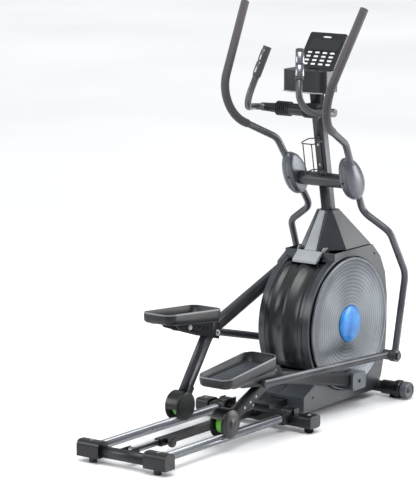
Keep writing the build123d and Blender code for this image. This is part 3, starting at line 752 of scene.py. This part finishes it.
class Ribs(Grown):
    """Round-backed ribs side by side, all the same way."""

    def __init__(self) -> None:
        """Builds the tree: bars on a line of points."""
        sizes = {"Count": INT, "Start": VECTOR, "Step": VECTOR, "Along": VECTOR, "Radius": FLOAT}
        super().__init__("ribs", {**sizes, "Length": FLOAT})
        given = self.given
        inputs = {"Count": given["Count"], "Start Location": given["Start"], "Offset": given["Step"]}
        line = add_node(self.tree, "GeometryNodeMeshLine", {"mode": "OFFSET"}, inputs)
        inputs = {"Vertices": 10, "Radius": given["Radius"], "Depth": given["Length"]}
        bar = add_node(self.tree, "GeometryNodeMeshCylinder", None, inputs)
        inputs = {"Points": line.outputs[0], "Instance": bar.outputs["Mesh"]}
        inputs["Rotation"] = self.aimed(given["Along"])
        self.finish(self.repeated(inputs))

    def lay(
        self, name: str, body: str, finish: Finish, where: Matrix, start: Sequence[float],
        step: Sequence[float], along: Sequence[float], count: int, radius: float, length: float
    ) -> None:
        """Lays ribs in a local frame, all sizes in millimetres.

        Args:
            name: the piece's name.
            body: the body that they ride on.
            finish: their finish.
            where: the local frame.
            start: middle of the first rib.
            step: from one rib's middle to the next.
            along: the ribs' direction.
            count: how many.
            radius: the back's radius.
            length: a rib's length.
        """
        turned = where.to_3x3()
        values = {"Count": count, "Start": where @ Vector(start), "Step": turned @ Vector(step)}
        values["Along"] = (turned @ Vector(along)).normalized()
        values.update({"Radius": radius * MM, "Length": length * MM})
        self.grow(name, body, finish, values)


class Knurl(Grown):
    """Round teeth in a ring, as on a knob or a foot."""

    def __init__(self) -> None:
        """Builds the tree: short bars round a circle, turned to an axis and moved to a centre."""
        sizes = {"Count": INT, "Ring": FLOAT, "Radius": FLOAT, "Length": FLOAT, "Centre": VECTOR}
        super().__init__("knurl", {**sizes, "Axis": VECTOR})
        given = self.given
        inputs = {"Vertices": given["Count"], "Radius": given["Ring"]}
        ring = add_node(self.tree, "GeometryNodeMeshCircle", None, inputs)
        inputs = {"Vertices": 8, "Radius": given["Radius"], "Depth": given["Length"]}
        tooth = add_node(self.tree, "GeometryNodeMeshCylinder", None, inputs)
        teeth = self.repeated({"Points": ring.outputs[0], "Instance": tooth.outputs["Mesh"]})
        inputs = {"Geometry": teeth, "Translation": given["Centre"]}
        inputs["Rotation"] = self.aimed(given["Axis"])
        self.finish(add_node(self.tree, "GeometryNodeTransform", None, inputs).outputs[0])

    def cut(
        self, name: str, body: str, finish: Finish, centre: Vector, axis: Sequence[float],
        ring: float, tooth: float, length: float, count: int
    ) -> None:
        """Cuts one knurl; centre in metres, the other sizes in millimetres."""
        values = {"Count": count, "Ring": ring * MM, "Radius": tooth * MM, "Length": length * MM}
        values.update({"Centre": centre, "Axis": Vector(axis)})
        self.grow(name, body, finish, values)


# ---- sub-assemblies ----
@dataclass
class BaseFrame:
    """Beam, crossbars, mast, feet and the wheels it is moved on."""

    screws: ScrewHeads
    knurl: Knurl
    parts: tuple = (
        Part("base_frame", FRAME_BLACK, 2.0), Part("mid_crossbar", FRAME_BLACK, 3.0),
        Part("rail_hinges", FRAME_BLACK, 1.0), Part("end_caps", CAP_BLACK, 2.5),
        Part("front_stabilizer", MAST_GREY, 2.0), Part("mast", MAST_GREY, 0.0),
        Part("swing_shaft", MAST_GREY, 2.0), Part("power_inlet", CAP_BLACK, 1.5),
    )
    feet: tuple = ((MID_BAR_X, 264.0, 22.0, 18.0), (FRONT_BAR_X, 205.0, 9.0, 18.0))
    wheel_r: float = 37.0

    def build(self) -> None:
        """Makes the pieces."""
        for part in self.parts:
            part.build()
        self.build_feet()
        self.build_wheels()
        spots = [(place(MID_BAR_X, 264 * s, 76), (0, 0, -0.5), (0, 0, 1)) for s in (1, -1)]
        self.screws.put("crossbar_cap_screws", "base", spots, 8, STEEL, 20)

    def build_feet(self) -> None:
        """Rubber feet with a rounded tread and knurled sides."""
        shape = Shape(place())
        for x, y, top, radius in self.feet:
            for sign in (1, -1):
                rings = []
                for r, z in ((radius - 4, 0), (radius, 3), (radius, top - 2), (radius - 3, top)):
                    rings.append([(x + u, y * sign + v, z) for u, v in circle(r, 32)])
                shape.loft(rings)
                centre = place() @ Vector((x, y * sign, top / 2))
                name = f"foot_knurl_{'mid' if x < 0 else 'front'}_{'left' if sign > 0 else 'right'}"
                self.knurl.cut(
                    name, "base", RUBBER, centre, (0, 0, 1), radius, 1.6, max(top - 5, 3), 24
                )
        shape.piece("levelling_feet_rubber", "base", [RUBBER], ["levelling_feet"])

    def build_wheels(self) -> None:
        """End wheels of the front stabilizer: a grey tyre round a dished hub."""
        r = self.wheel_r
        tread = [(0, 257), (14, 257), (30, 258), (34, 254.5), (r, 258), (r, 283), (34, 287.5)]
        rim = [(29, 288), (27, 284), (13, 281), (11, 286), (6, 288.5), (0, 288.5)]
        guard = [(26, 214), (36, 216), (40, 222), (40, 244), (36, 251), (26, 252)]
        for side in Side:
            where = place(FRONT_BAR_X, 0, 40, 0, side)
            shape = Shape(where).lathe(tread + rim, 56)
            sleeve = Shape(where).lathe(guard, 10)
            sleeve.piece(f"wheel_guard_{side.word}", "base", [CAP_BLACK], edge=1.5, sharp=20)
            nodes = ["transport_wheels"] if side is Side.LEFT else []
            shape.piece(f"moving_wheel_{side.word}", "front_wheels", [WHEEL_GREY], nodes)


@dataclass
class Housing:
    """Charcoal shells, ridged rear cover, shroud and trim."""

    screws: ScrewHeads
    parts: tuple = (
        Part("housing_left", HOUSING, 3.0), Part("housing_right", HOUSING, 3.0),
        Part("upper_shroud", HOUSING, 4.0),
    )
    skin_r: float = 295.0
    spine_rise: float = 16.0
    spine_half: float = 27.0
    shoulder_rise: float = 9.0
    shoulder_at: float = 70.0
    shoulder_blend: float = 3.5
    half: float = 95.0
    arc: tuple[float, float] = (113.2, 215.0)

    def build(self) -> None:
        """Makes the pieces."""
        for part in self.parts:
            part.build()
        self.build_cover()
        self.build_trim()
        spots = []
        for y in (-84, 0, 84):
            for angle in (132, 168, 203):
                turned = place(0, 0, CRANK_Z, -angle)
                spots.append((turned, (self.skin_r + self.rise(y) - 0.6, y, 0), (1, 0, 0)))
        self.screws.put("cover_screws", "base", spots, 5, FRAME_BLACK, 12)
        for side in Side:
            where = place(side=side)
            spots = [(where, (-262, 127.5, 84), (0, 1, 0)), (where, (205, 127.5, 640), (0, 1, 0))]
            self.screws.put(f"shell_screws_{side.word}", "base", spots, 6.5, FRAME_BLACK, 20)

    def rise(self, y: float) -> float:
        """Height of the cover's skin above its base radius across its width."""
        spine = self.spine_rise * math.exp(-((y / self.spine_half) ** 2))
        past = (abs(y) - self.shoulder_at) / self.shoulder_blend
        return spine + self.shoulder_rise / (1 + math.exp(-past))

    def build_cover(self) -> None:
        """The curved rear cover: a rounded spine between two valleys and two soft shoulders."""
        across = [self.half * (i / 28 - 1) for i in range(57)]
        sections = []
        steps = 64
        for step in range(steps + 1):
            share = step / steps
            angle = math.radians(self.arc[0] + (self.arc[1] - self.arc[0]) * share)
            fade = min(1.0, 10 * min(share, 1 - share)) ** 0.5
            outer = [(self.skin_r + self.rise(y) * fade, y) for y in across]
            inner = [(self.skin_r - 4.0, y) for y in reversed(across)]
            sections.append([(r * math.cos(angle), y, r * math.sin(angle)) for r, y in outer + inner])
        shape = Shape(place(0, 0, CRANK_Z)).loft(sections)
        shape.piece("rear_cover_skin", "base", [GLOSS], ["rear_cover"], sharp=60)

    def build_trim(self) -> None:
        """Light saddle on the drum's crown, and the strip that runs up the shroud from it."""
        Part("trim_saddle", TRIM, 5.0).build()
        foot, top = Vector((-104, 0, 684)), Vector((-12, 0, 845))
        out = Vector((-(top - foot).z, 0, (top - foot).x)).normalized()
        sections = []
        for share in (0.0, 0.15, 0.5, 0.9, 1.0):
            middle = foot.lerp(top, share)
            half = 30 - 16 * share
            crown = 2.2 if share < 1 else 1.0
            outline = [(-half, -1.0), (-half, 1.2), (-half * 0.6, crown)]
            outline += [(half * 0.6, crown), (half, 1.2), (half, -1.0)]
            sections.append([middle + out * lift + Vector((0, y, 0)) for y, lift in outline])
        Shape(place()).loft(sections).piece("shroud_strip", "base", [TRIM], edge=0.6)
        lappet = [(-150, 610), (-120, 640), (-104, 690), (-96, 700), (-60, 694), (-96, 676)]
        for side in Side:
            shape = Shape(place(side=side)).prism(lappet, 61, 66)
            shape.piece(f"saddle_lappet_{side.word}", "base", [TRIM], edge=1.5)


@dataclass
class Drive:
    """Discs with their blue caps, and what turns inside the housing."""

    disc_r: float = 288.0
    cap_r: float = 80.0
    inner: tuple = (
        InnerPart("crank_axle", STEEL), InnerPart("drive_pulley", CAP_BLACK),
        InnerPart("flywheel", IRON),
        InnerPart("drive_belt", BELT), InnerPart("magnet_brake", STEEL),
    )

    def build(self) -> None:
        """Makes the pieces."""
        for part in self.inner:
            part.build()
        r = self.disc_r
        c = self.cap_r
        face = [(30, 130), (r - 6, 130), (r, 133), (r, 136), (r - 2, 139), (r - 7, 140)]
        face += [(r - 12, 138.5), (r - 16, 136.5), (r * 0.75, 135.2), (r * 0.5, 135.8)]
        face += [(c + 8, 137.0), (c + 2, 137.4), (30, 137.4)]
        cap = [(0, 136), (c, 137), (c, 141), (c - 3, 144), (c * 0.8, 147.5)]
        cap += [(c * 0.5, 150.4), (c * 0.25, 151.6), (0, 152)]
        for side in Side:
            where = place(0, 0, CRANK_Z, 0, side)
            disc = Shape(where).lathe(face, 128)
            disc.piece(f"disc_{side.word}", "crank_set", [DISC], [f"crank_disc_{side.word}"], sharp=50)
            nodes = ["disc_caps"] if side is Side.LEFT else []
            shape = Shape(where).lathe(cap, 96)
            shape.piece(f"hub_cap_{side.word}", "crank_set", [CAP_BLUE], nodes, sharp=50)


@dataclass
class Rails:
    """Chrome rails on the rear crossbar, with the telescoping brace between them."""

    screws: ScrewHeads
    knurl: Knurl

    def build(self) -> None:
        """Makes the pieces."""
        rear, front, inner = REAR_BAR_X + 26, -585, 135

        def painted(spot: Vector) -> bool:
            """True on the crossbar, the brace's lugs and the hinge sockets, which are black."""
            return spot.x < rear or abs(spot.y) < inner or spot.x > front

        Part("rail_frame", CHROME, 0.0, FRAME_BLACK, painted).build()
        Part("rear_end_caps", CAP_BLACK, 3.0).build()
        Part("brace_tube", FRAME_BLACK, 1.5).build()
        Part("brace_rod", CHROME, 0.0).build()
        Part("lock_knob", CAP_BLACK, 0.0).build()
        spots = [(place(REAR_BAR_X, 166 * s, 90), (0, 0, -0.5), (0, 0, 1)) for s in (1, -1)]
        self.screws.put("rear_cap_screws", "rails", spots, 8, STEEL, 20)
        centre = place() @ Vector((-1140, -43, 60))
        self.knurl.cut("knob_ribs", "knob", CAP_BLACK, centre, (0, 1, 0), 19.0, 2.4, 14, 14)


@dataclass
class RollerArm:
    """Bent arm from a crank to a roller, with its covers."""

    screws: ScrewHeads
    side: Side
    wheel_r: float = 40.7

    def build(self) -> None:
        """Makes the pieces."""
        word = self.side.word
        body = f"arm_{word}"
        # Painted light and shade: the twin arms share one paint, drawn lighter grey on the left arm and
        # black on the right.
        paint = FRAME_BLACK if self.side is Side.RIGHT else MAST_GREY
        Part(f"roller_arm_{word}", paint, 0.0).build()
        Part(f"crank_end_cover_{word}", SLATE, 3.0).build()
        Part(f"roller_fender_{word}", CAP_BLACK, 0.0).build()
        Part(f"roller_axle_{word}", STEEL, 1.0).build()
        self.build_roller()
        where = arm_place(self.side)
        cap = [(0, 198), (54, 198), (54, 199.5), (49, 202), (30, 204.2)]
        cap += [(14, 205), (12, 206.5), (0, 207)]
        Shape(where).lathe(cap, 48).piece(f"fender_disc_{word}", body, [CAP_BLACK], edge=0.8)
        spots = [(where, (ARM_CHORD - 10, 198, 0), (0, 1, 0))]
        self.screws.put(f"end_cover_screw_{word}", body, spots, 9, FRAME_BLACK, 6)
        slope = math.atan2(LINK_ABOVE, LINK_ALONG)
        spots = []
        for distance in (118, 160, 202):
            spot = (distance * math.cos(slope), 186, distance * math.sin(slope))
            spots.append((where, spot, (0, 1, 0)))
        self.screws.put(f"arm_screws_{word}", body, spots, 5.5, STEEL, 6)

    def build_roller(self) -> None:
        """Polyurethane roller with a crowned tread and a grooved hub."""
        axle_x, _ = arm_slope(self.side)
        r = self.wheel_r
        near, far = RAIL_Y - 16, RAIL_Y + 16
        profile = [(8, near + 2), (18, near + 2), (20, near), (r - 4, near), (r - 0.5, near + 3)]
        profile += [(r, near + 8), (r, far - 8), (r - 0.5, far - 3), (r - 4, far), (20, far)]
        profile += [(18, far - 2), (8, far - 2)]
        shape = Shape(place(axle_x, 0, ROLLER_Z, 0, self.side)).lathe(profile, 56)
        word = self.side.word
        shape.piece(f"roller_{word}", f"roller_{word}", [GREEN], [f"roller_wheel_{word}"])


@dataclass
class Pedal:
    """Foot tray on its link: a boat-shaped tray with a high inner wall and a ribbed floor."""

    screws: ScrewHeads
    ribs: Ribs
    side: Side
    toe: float = -28.0
    heel: float = -392.0
    inner_y: float = 75.0
    outer_y: float = 235.0
    floor: float = 64.0
    rim: float = 92.0
    tilt: float = 6.8

    def rim_at(self, x: float, y: float) -> float:
        """Rim height: it rises towards the toe and towards the machine's middle."""
        forward = max(0.0, (x - self.heel) / (self.toe - self.heel))
        inward = max(0.0, (self.outer_y - y) / (self.outer_y - self.inner_y))
        arch = max(0.0, math.sin(math.pi * min(1.0, forward * 1.05)))
        return self.rim + 16 * forward**2.0 + (6 + 10 * inward**1.5) * arch

    def build(self) -> None:
        """Makes the pieces."""
        word = self.side.word
        body = f"link_{word}"
        where = link_place(self.side, self.tilt)
        middle_x, middle_y = (self.toe + self.heel) / 2, (self.inner_y + self.outer_y) / 2
        half_x, half_y = (self.toe - self.heel) / 2, (self.outer_y - self.inner_y) / 2

        def outline(inset: float, share: float, lift: float) -> list[tuple[float, float, float]]:
            """Plan outline at an inset, its height a share of the way from the floor to the rim."""
            points = []
            for x, y in rounded_outline(half_x - inset, half_y - inset, max(38 - inset, 8), 8):
                wall = self.rim_at(middle_x + x, middle_y + y) - self.floor
                points.append((middle_x + x, middle_y + y, self.floor + wall * share + lift))
            return points

        tray = Shape(where)
        hull = ((30, 0, -14), (10, 0, -13), (2, 0, -6), (0, 0.3, 0), (0, 0.85, 0))
        tray.loft([outline(*level) for level in hull])
        tray.mesh.faces.ensure_lookup_table()
        tray.mesh.faces.remove(tray.mesh.faces[-1])
        # The top lip gets the light grey finish, a painted highlight along the tray's edge.
        rim = ((0, 0.85, 0), (1.2, 1.0, 0), (4.2, 1.0, 0))
        well = ((4.2, 1.0, 0), (6.5, 0.8, 0), (12, 0.3, 4), (20, 0, 7))
        for finish, levels in ((1, rim), (0, well)):
            tray.index = finish
            for low, high in zip(levels, levels[1:]):
                self.band(tray, outline(*low), outline(*high))
        tray.face(tray.ring(outline(*well[-1])))
        tray.piece(f"pedal_tray_{word}", body, [PEDAL, PEDAL_RIM_HIGHLIGHT], [f"pedal_{word}"], sharp=50)
        first = (middle_x - 4, self.inner_y + 30, self.floor + 7.4)
        self.ribs.lay(
            f"pedal_ribs_{word}", body, SLATE, where, first, (0, 12.5, 0), (1, 0, 0), count=9,
            radius=3.2, length=self.toe - self.heel - 74
        )
        skirt = [(self.heel + 26, 56), (self.heel + 60, 42), (self.toe - 120, 26)]
        skirt += [(self.toe - 46, 14), (self.toe - 16, 30), (self.toe - 12, self.floor + 4)]
        skirt += [(self.heel + 20, self.floor + 4)]
        Shape(where).prism(skirt, 212, 222).piece(f"pedal_skirt_{word}", body, [PEDAL], edge=1.6)
        self.build_link()

    def band(self, shape: Shape, low: list, high: list) -> None:
        """Strip of faces between two outlines."""
        first, second = shape.ring(low), shape.ring(high)
        for i in range(len(first)):
            j = (i + 1) % len(first)
            shape.face((first[i], first[j], second[j], second[i]))

    def build_link(self) -> None:
        """Link tube and bracket, with a pressed zig-zag and a bright bolt on its inner plate."""
        word = self.side.word
        body = f"link_{word}"
        where = link_place(self.side)
        shape = Shape(where).copy(f"pedal_link_{word}", flat=False)
        shape.recolour(1, lambda spot: spot.y < 218 and spot.x < 60)
        shape.piece(f"pedal_link_{word}_skin", body, [TUBE_GREY, FRAME_BLACK], [f"pedal_link_{word}"])
        zigzag = [(-165 + 14 * i, 125.4, 18 * (i % 2)) for i in range(9)]
        Shape(where).tube(zigzag, 2.2, sides=8).piece(f"bracket_zigzag_{word}", body, [TUBE_GREY])
        spots = [(where, (-192, 126.5, 8), (0, -1, 0))]
        self.screws.put(f"bracket_bolt_{word}", body, spots, 12, KEY_WHITE, 20)
        self.screws.put(f"pivot_bolt_{word}", body, [(where, (0, 120.5, 0), (0, -1, 0))], 14, STEEL, 6)


@dataclass
class SwingArm:
    """Moving handlebar with its foam grip, bearing cover and foot."""

    screws: ScrewHeads
    side: Side
    lean: float = math.degrees(math.atan2(197, 317))
    egg_half: tuple[float, float] = (60.0, 106.0)
    egg_taper: float = 0.12
    egg_drop: float = 24.0

    def build(self) -> None:
        """Makes the pieces."""
        word = self.side.word
        body = f"swing_{word}"
        Part(f"swing_arm_{word}", TUBE_GREY, 0.0).build()
        InnerPart(f"swing_bush_{word}", BRONZE).build()
        Part(f"link_bolt_{word}", CAP_BLACK, 2.0).build()
        grip = Part(f"swing_grip_{word}", FOAM, 0.0).build()
        self.build_cover(body)

    def egg(self, scale: float, y: float) -> list[tuple[float, float, float]]:
        """Egg outline, wider below, at a scale and a depth."""
        points = []
        for across, up in circle(1.0, 48):
            height = self.egg_half[1] * up
            width = self.egg_half[0] * across * (1 - self.egg_taper * up)
            points.append((width * scale, y, height * scale + self.egg_drop))
        return points

    def build_cover(self, body: str) -> None:
        """Two moulded half shells, joined at a groove and domed outwards."""
        word = self.side.word
        where = place(SWING_PIVOT[0], 0, SWING_PIVOT[1], -self.lean, self.side)
        inner = [(0.72, 121), (0.88, 123), (0.96, 130), (1.0, 144), (0.975, 145.5)]
        outer = [(0.975, 146.5), (1.0, 148), (0.98, 158), (0.9, 168), (0.76, 176)]
        outer += [(0.54, 182), (0.28, 185), (0.08, 186)]
        shape = Shape(where).loft([self.egg(scale, y) for scale, y in inner + outer])
        shape.piece(f"pivot_cover_dome_{word}", body, [COVER_SILVER], [f"pivot_cover_{word}"], sharp=60)
        spots = [(where, (-24, 173.5, 74), (-0.3, 1, 0.35)), (where, (22, 174, -28), (0.3, 1, -0.3))]
        spots += [(where, (-57, 140, 40), (-1, 0.1, 0)), (where, (-48, 138, -22), (-1, 0.1, -0.3))]
        self.screws.put(f"cover_screws_{word}", body, spots, 6, FRAME_BLACK, 6)


@dataclass
class Cockpit:
    """Fixed handlebar, console and bottle cage."""

    screws: ScrewHeads
    bar_at: tuple[float, float] = (-200.0, 1300.0)
    display_at: float = 142.0
    cage_at: float = 1105.0

    def build(self) -> None:
        """Makes the pieces."""
        Part("handlebar", TUBE_GREY, 0.0).build()
        self.build_bar_cover()
        self.build_plates()
        grips = Part("handlebar_grips", FOAM, 2.5).build()
        self.build_console()
        self.build_cage()

    def build_bar_cover(self) -> None:
        """Slim cover round the cross tube, with a ribbed clamp on each side of the stem."""
        x, z = self.bar_at
        sections = []
        for step in range(25):
            y = -186 + 372 * step / 24
            swell = math.cos(math.pi * y / 400) ** 2
            half_x, half_z = 18 + 12 * swell, 17.5 + 8 * swell
            sections.append([(x + half_x * u, y, z + half_z * v) for u, v in circle(1.0, 32)])
        Shape(place()).loft(sections).piece("bar_cover", "base", [CAP_BLACK], ["handlebar_cover"])
        for side in Side:
            profile = [(20, 34)]
            for rib in range(7):
                start = 36 + 10 * rib
                profile += [(27, start), (31, start + 2), (31, start + 6), (27, start + 8)]
            shape = Shape(place(x, 0, z, 0, side)).lathe(profile + [(20, 108)], 40)
            shape.piece(f"bar_clamp_{side.word}", "base", [CAP_BLACK])

    def build_plates(self) -> None:
        """Two curved hand-pulse plates on each grip, facing outwards and towards the rider."""
        top, bend = Vector(BAR_TOP), Vector(BAR_BEND)
        ahead = (bend - top).normalized()
        facing = Vector((-1, 1, 0))
        facing = (facing - ahead * facing.dot(ahead)).normalized()
        across = ahead.cross(facing)
        for side in Side:
            shape = Shape(place(side=side))
            for start in (12.0, 68.0):
                sections = []
                for distance, lift in ((0, -1), (0, 1), (1.5, 2), (44.5, 2), (46, 1), (46, -1)):
                    middle = top + ahead * (start + distance)
                    arc = []
                    for radius, way in ((18 + lift, 1), (17, -1)):
                        for i in range(13):
                            angle = math.radians(62 * way * (i / 6 - 1))
                            outward = facing * math.cos(angle) + across * math.sin(angle)
                            arc.append(middle + radius * outward)
                    sections.append(arc)
                shape.loft(sections)
            nodes = ["pulse_plates"] if side is Side.LEFT else []
            shape.piece(f"pulse_plates_{side.word}", "base", [CHROME], nodes)

    def build_console(self) -> None:
        """Display slab with a raised bezel, a smoked window, printed keys and the pod below."""
        face = console_place()
        Part("console_case", CONSOLE, 7.0).build()
        Part("console_keys", KEY_WHITE, 0.5).build()
        outer = rounded_outline(80, 33, 9)
        inner = rounded_outline(74, 27, 6)
        sections = []
        for line, z in ((outer, 0), (outer, 2.5), (inner, 2.9), (inner, 0)):
            sections.append([(x, self.display_at + y, z) for x, y in line])
        bezel = Shape(face).loft(sections, closed=True)
        bezel.piece("display_bezel", "base", [CAP_BLACK], edge=0.4)
        sections = [[(x, self.display_at + y, z) for x, y in inner] for z in (-1.0, 1.6)]
        Shape(face).loft(sections).piece("display_window", "base", [LENS], ["display_lens"])
        sections = [[(22 * x, 180 + 4 * y, z) for x, y in circle(1.0, 36)] for z in (-0.5, 0.7)]
        shape = Shape(face).loft(sections)
        shape.piece("console_badge", "base", [KEY_WHITE])
        lip = [(-170, -100, 1372), (-171, -60, 1370), (-171, 60, 1370), (-170, 100, 1372)]
        Shape(place()).tube(lip, 2.6).piece("pod_edge", "base", [TRIM])

    def build_cage(self) -> None:
        """Bent wire cage on a screwed strip."""
        where = mast_place(self.cage_at)
        cage = Shape(where)
        for z in (-77.5, 62.5):
            loop = [(-69 + x, y, z) for x, y in rounded_outline(38.5, 37.5, 20)]
            cage.tube(loop, 2.6, closed=True)
        for y in (-22, 22):
            cage.tube([(-107.5, y, 62), (-107.5, y, -76)], 2.6)
        cage.tube([(-107.5, 0, -77.5), (-28, 0, -77.5)], 2.6)
        strip = ((-28, -12), (-25, -12), (-25, 12), (-28, 12))
        cage.loft([[(x, y, z) for x, y in strip] for z in (-95, 75)])
        cage.piece("bottle_cage_wire", "base", [WIRE], ["bottle_cage"])
        spots = [(where, (-28, 0, z), (-1, 0, 0)) for z in (-55, 35)]
        self.screws.put("cage_screws", "base", spots, 6, STEEL, 20)


@dataclass
class Studio:
    """Pale floor, soft light and the camera."""

    camera_at: tuple[float, float, float] = (-9.5294, -6.4119, 2.7807)
    yaw: float = 0.6357
    pitch: float = 0.1821
    lens: float = 194.5
    floor_r: float = 60.0
    world_light: float = 0.72
    sun_light: float = 1.9
    sun_angle: float = 50.0
    panels: dict = field(default_factory=lambda: {
        "right_panel": ((3.6, -3.0, 1.3), 2.2, 120.0),
        "left_panel": ((-3.2, 3.4, 2.2), 2.4, 90.0),
        "top_panel": ((-0.6, -0.4, 4.2), 2.6, 60.0),
    })

    def build(self) -> None:
        """Makes the floor, the world, the lights and the camera."""
        rim = [(x, y, 0) for x, y in circle(self.floor_r, 96)]
        data = bpy.data.meshes.new("floor")
        data.from_pydata(rim, [], [range(len(rim))])
        floor = bpy.data.objects.new("floor", data)
        bpy.context.scene.collection.objects.link(floor)
        paper = Finish(
            "pale_studio_floor", "floor", "#F1F2F3", "#FAFAFB", (0.3, 0.38), grain_depth_mm=0.0,
            blotch_mm=3000
        )
        data.materials.append(material_of(paper))
        self.build_world()
        for name, (at, size, power) in self.panels.items():
            self.add_panel(name, at, size, power)
        self.add_sun()
        camera_data = bpy.data.cameras.new("camera")
        camera_data.lens = self.lens
        camera_data.sensor_width = 36.0
        camera_data.clip_end = 200.0
        camera = bpy.data.objects.new("camera", camera_data)
        level = math.cos(self.pitch)
        ahead = Vector((math.cos(self.yaw) * level, math.sin(self.yaw) * level, -math.sin(self.pitch)))
        camera.location = Vector(self.camera_at) + Vector((AXLE_X, 0, 0))
        camera.rotation_euler = ahead.to_track_quat("-Z", "Y").to_euler()
        bpy.context.scene.collection.objects.link(camera)
        bpy.context.scene.camera = camera
        bpy.context.scene.view_settings.view_transform = "Standard"

    def build_world(self) -> None:
        """Bright even surroundings, a little brighter above than at the sides."""
        world = bpy.data.worlds.new("studio")
        bpy.context.scene.world = world
        world.use_nodes = True
        tree = world.node_tree
        spot = add_node(tree, "ShaderNodeTexCoord").outputs["Generated"]
        height = add_node(tree, "ShaderNodeSeparateXYZ", None, {"Vector": spot}).outputs["Z"]
        ramp = add_node(tree, "ShaderNodeValToRGB", None, {"Fac": height})
        ramp.color_ramp.elements[0].color = linear("#C4C9D0")
        ramp.color_ramp.elements[1].color = linear("#FFFFFF")
        ramp.color_ramp.elements[1].position = 0.8
        seen = add_node(tree, "ShaderNodeLightPath").outputs["Is Camera Ray"]
        backdrop = {"Color": linear("#FFFFFF"), "Strength": 1.0}
        white = add_node(tree, "ShaderNodeBackground", None, backdrop)
        shine = {"Color": ramp.outputs["Color"], "Strength": self.world_light}
        light = add_node(tree, "ShaderNodeBackground", None, shine)
        mix_inputs = {0: seen, 1: light.outputs[0], 2: white.outputs[0]}
        mixed = add_node(tree, "ShaderNodeMixShader", None, mix_inputs)
        tree.links.new(mixed.outputs[0], tree.nodes["World Output"].inputs["Surface"])

    def add_panel(self, name: str, at: tuple, size: float, power: float) -> None:
        """Adds one square softbox that looks at the machine's middle."""
        data = bpy.data.lights.new(name, "AREA")
        data.size = size
        data.energy = power
        lamp = bpy.data.objects.new(name, data)
        lamp.location = Vector(at) + Vector((AXLE_X - 0.5, 0, 0))
        target = Vector((AXLE_X - 0.4, 0, 0.7))
        lamp.rotation_euler = (target - lamp.location).to_track_quat("-Z", "Y").to_euler()
        lamp.visible_camera = False
        bpy.context.scene.collection.objects.link(lamp)

    def add_sun(self) -> None:
        """Adds a wide soft sun for an even floor."""
        data = bpy.data.lights.new("soft_sun", "SUN")
        data.energy = self.sun_light
        data.angle = math.radians(self.sun_angle)
        sun = bpy.data.objects.new("soft_sun", data)
        sun.rotation_euler = Vector((0.35, 0.2, -1.0)).to_track_quat("-Z", "Y").to_euler()
        bpy.context.scene.collection.objects.link(sun)


def main() -> None:
    """Builds every sub-assembly."""
    Studio().build()
    screws, ribs, knurl = ScrewHeads(), Ribs(), Knurl()
    BaseFrame(screws, knurl).build()
    Housing(screws).build()
    Drive().build()
    Rails(screws, knurl).build()
    for side in Side:
        RollerArm(screws, side).build()
        Pedal(screws, ribs, side).build()
        SwingArm(screws, side).build()
    Cockpit(screws).build()


if __name__ == "__main__":
    main()
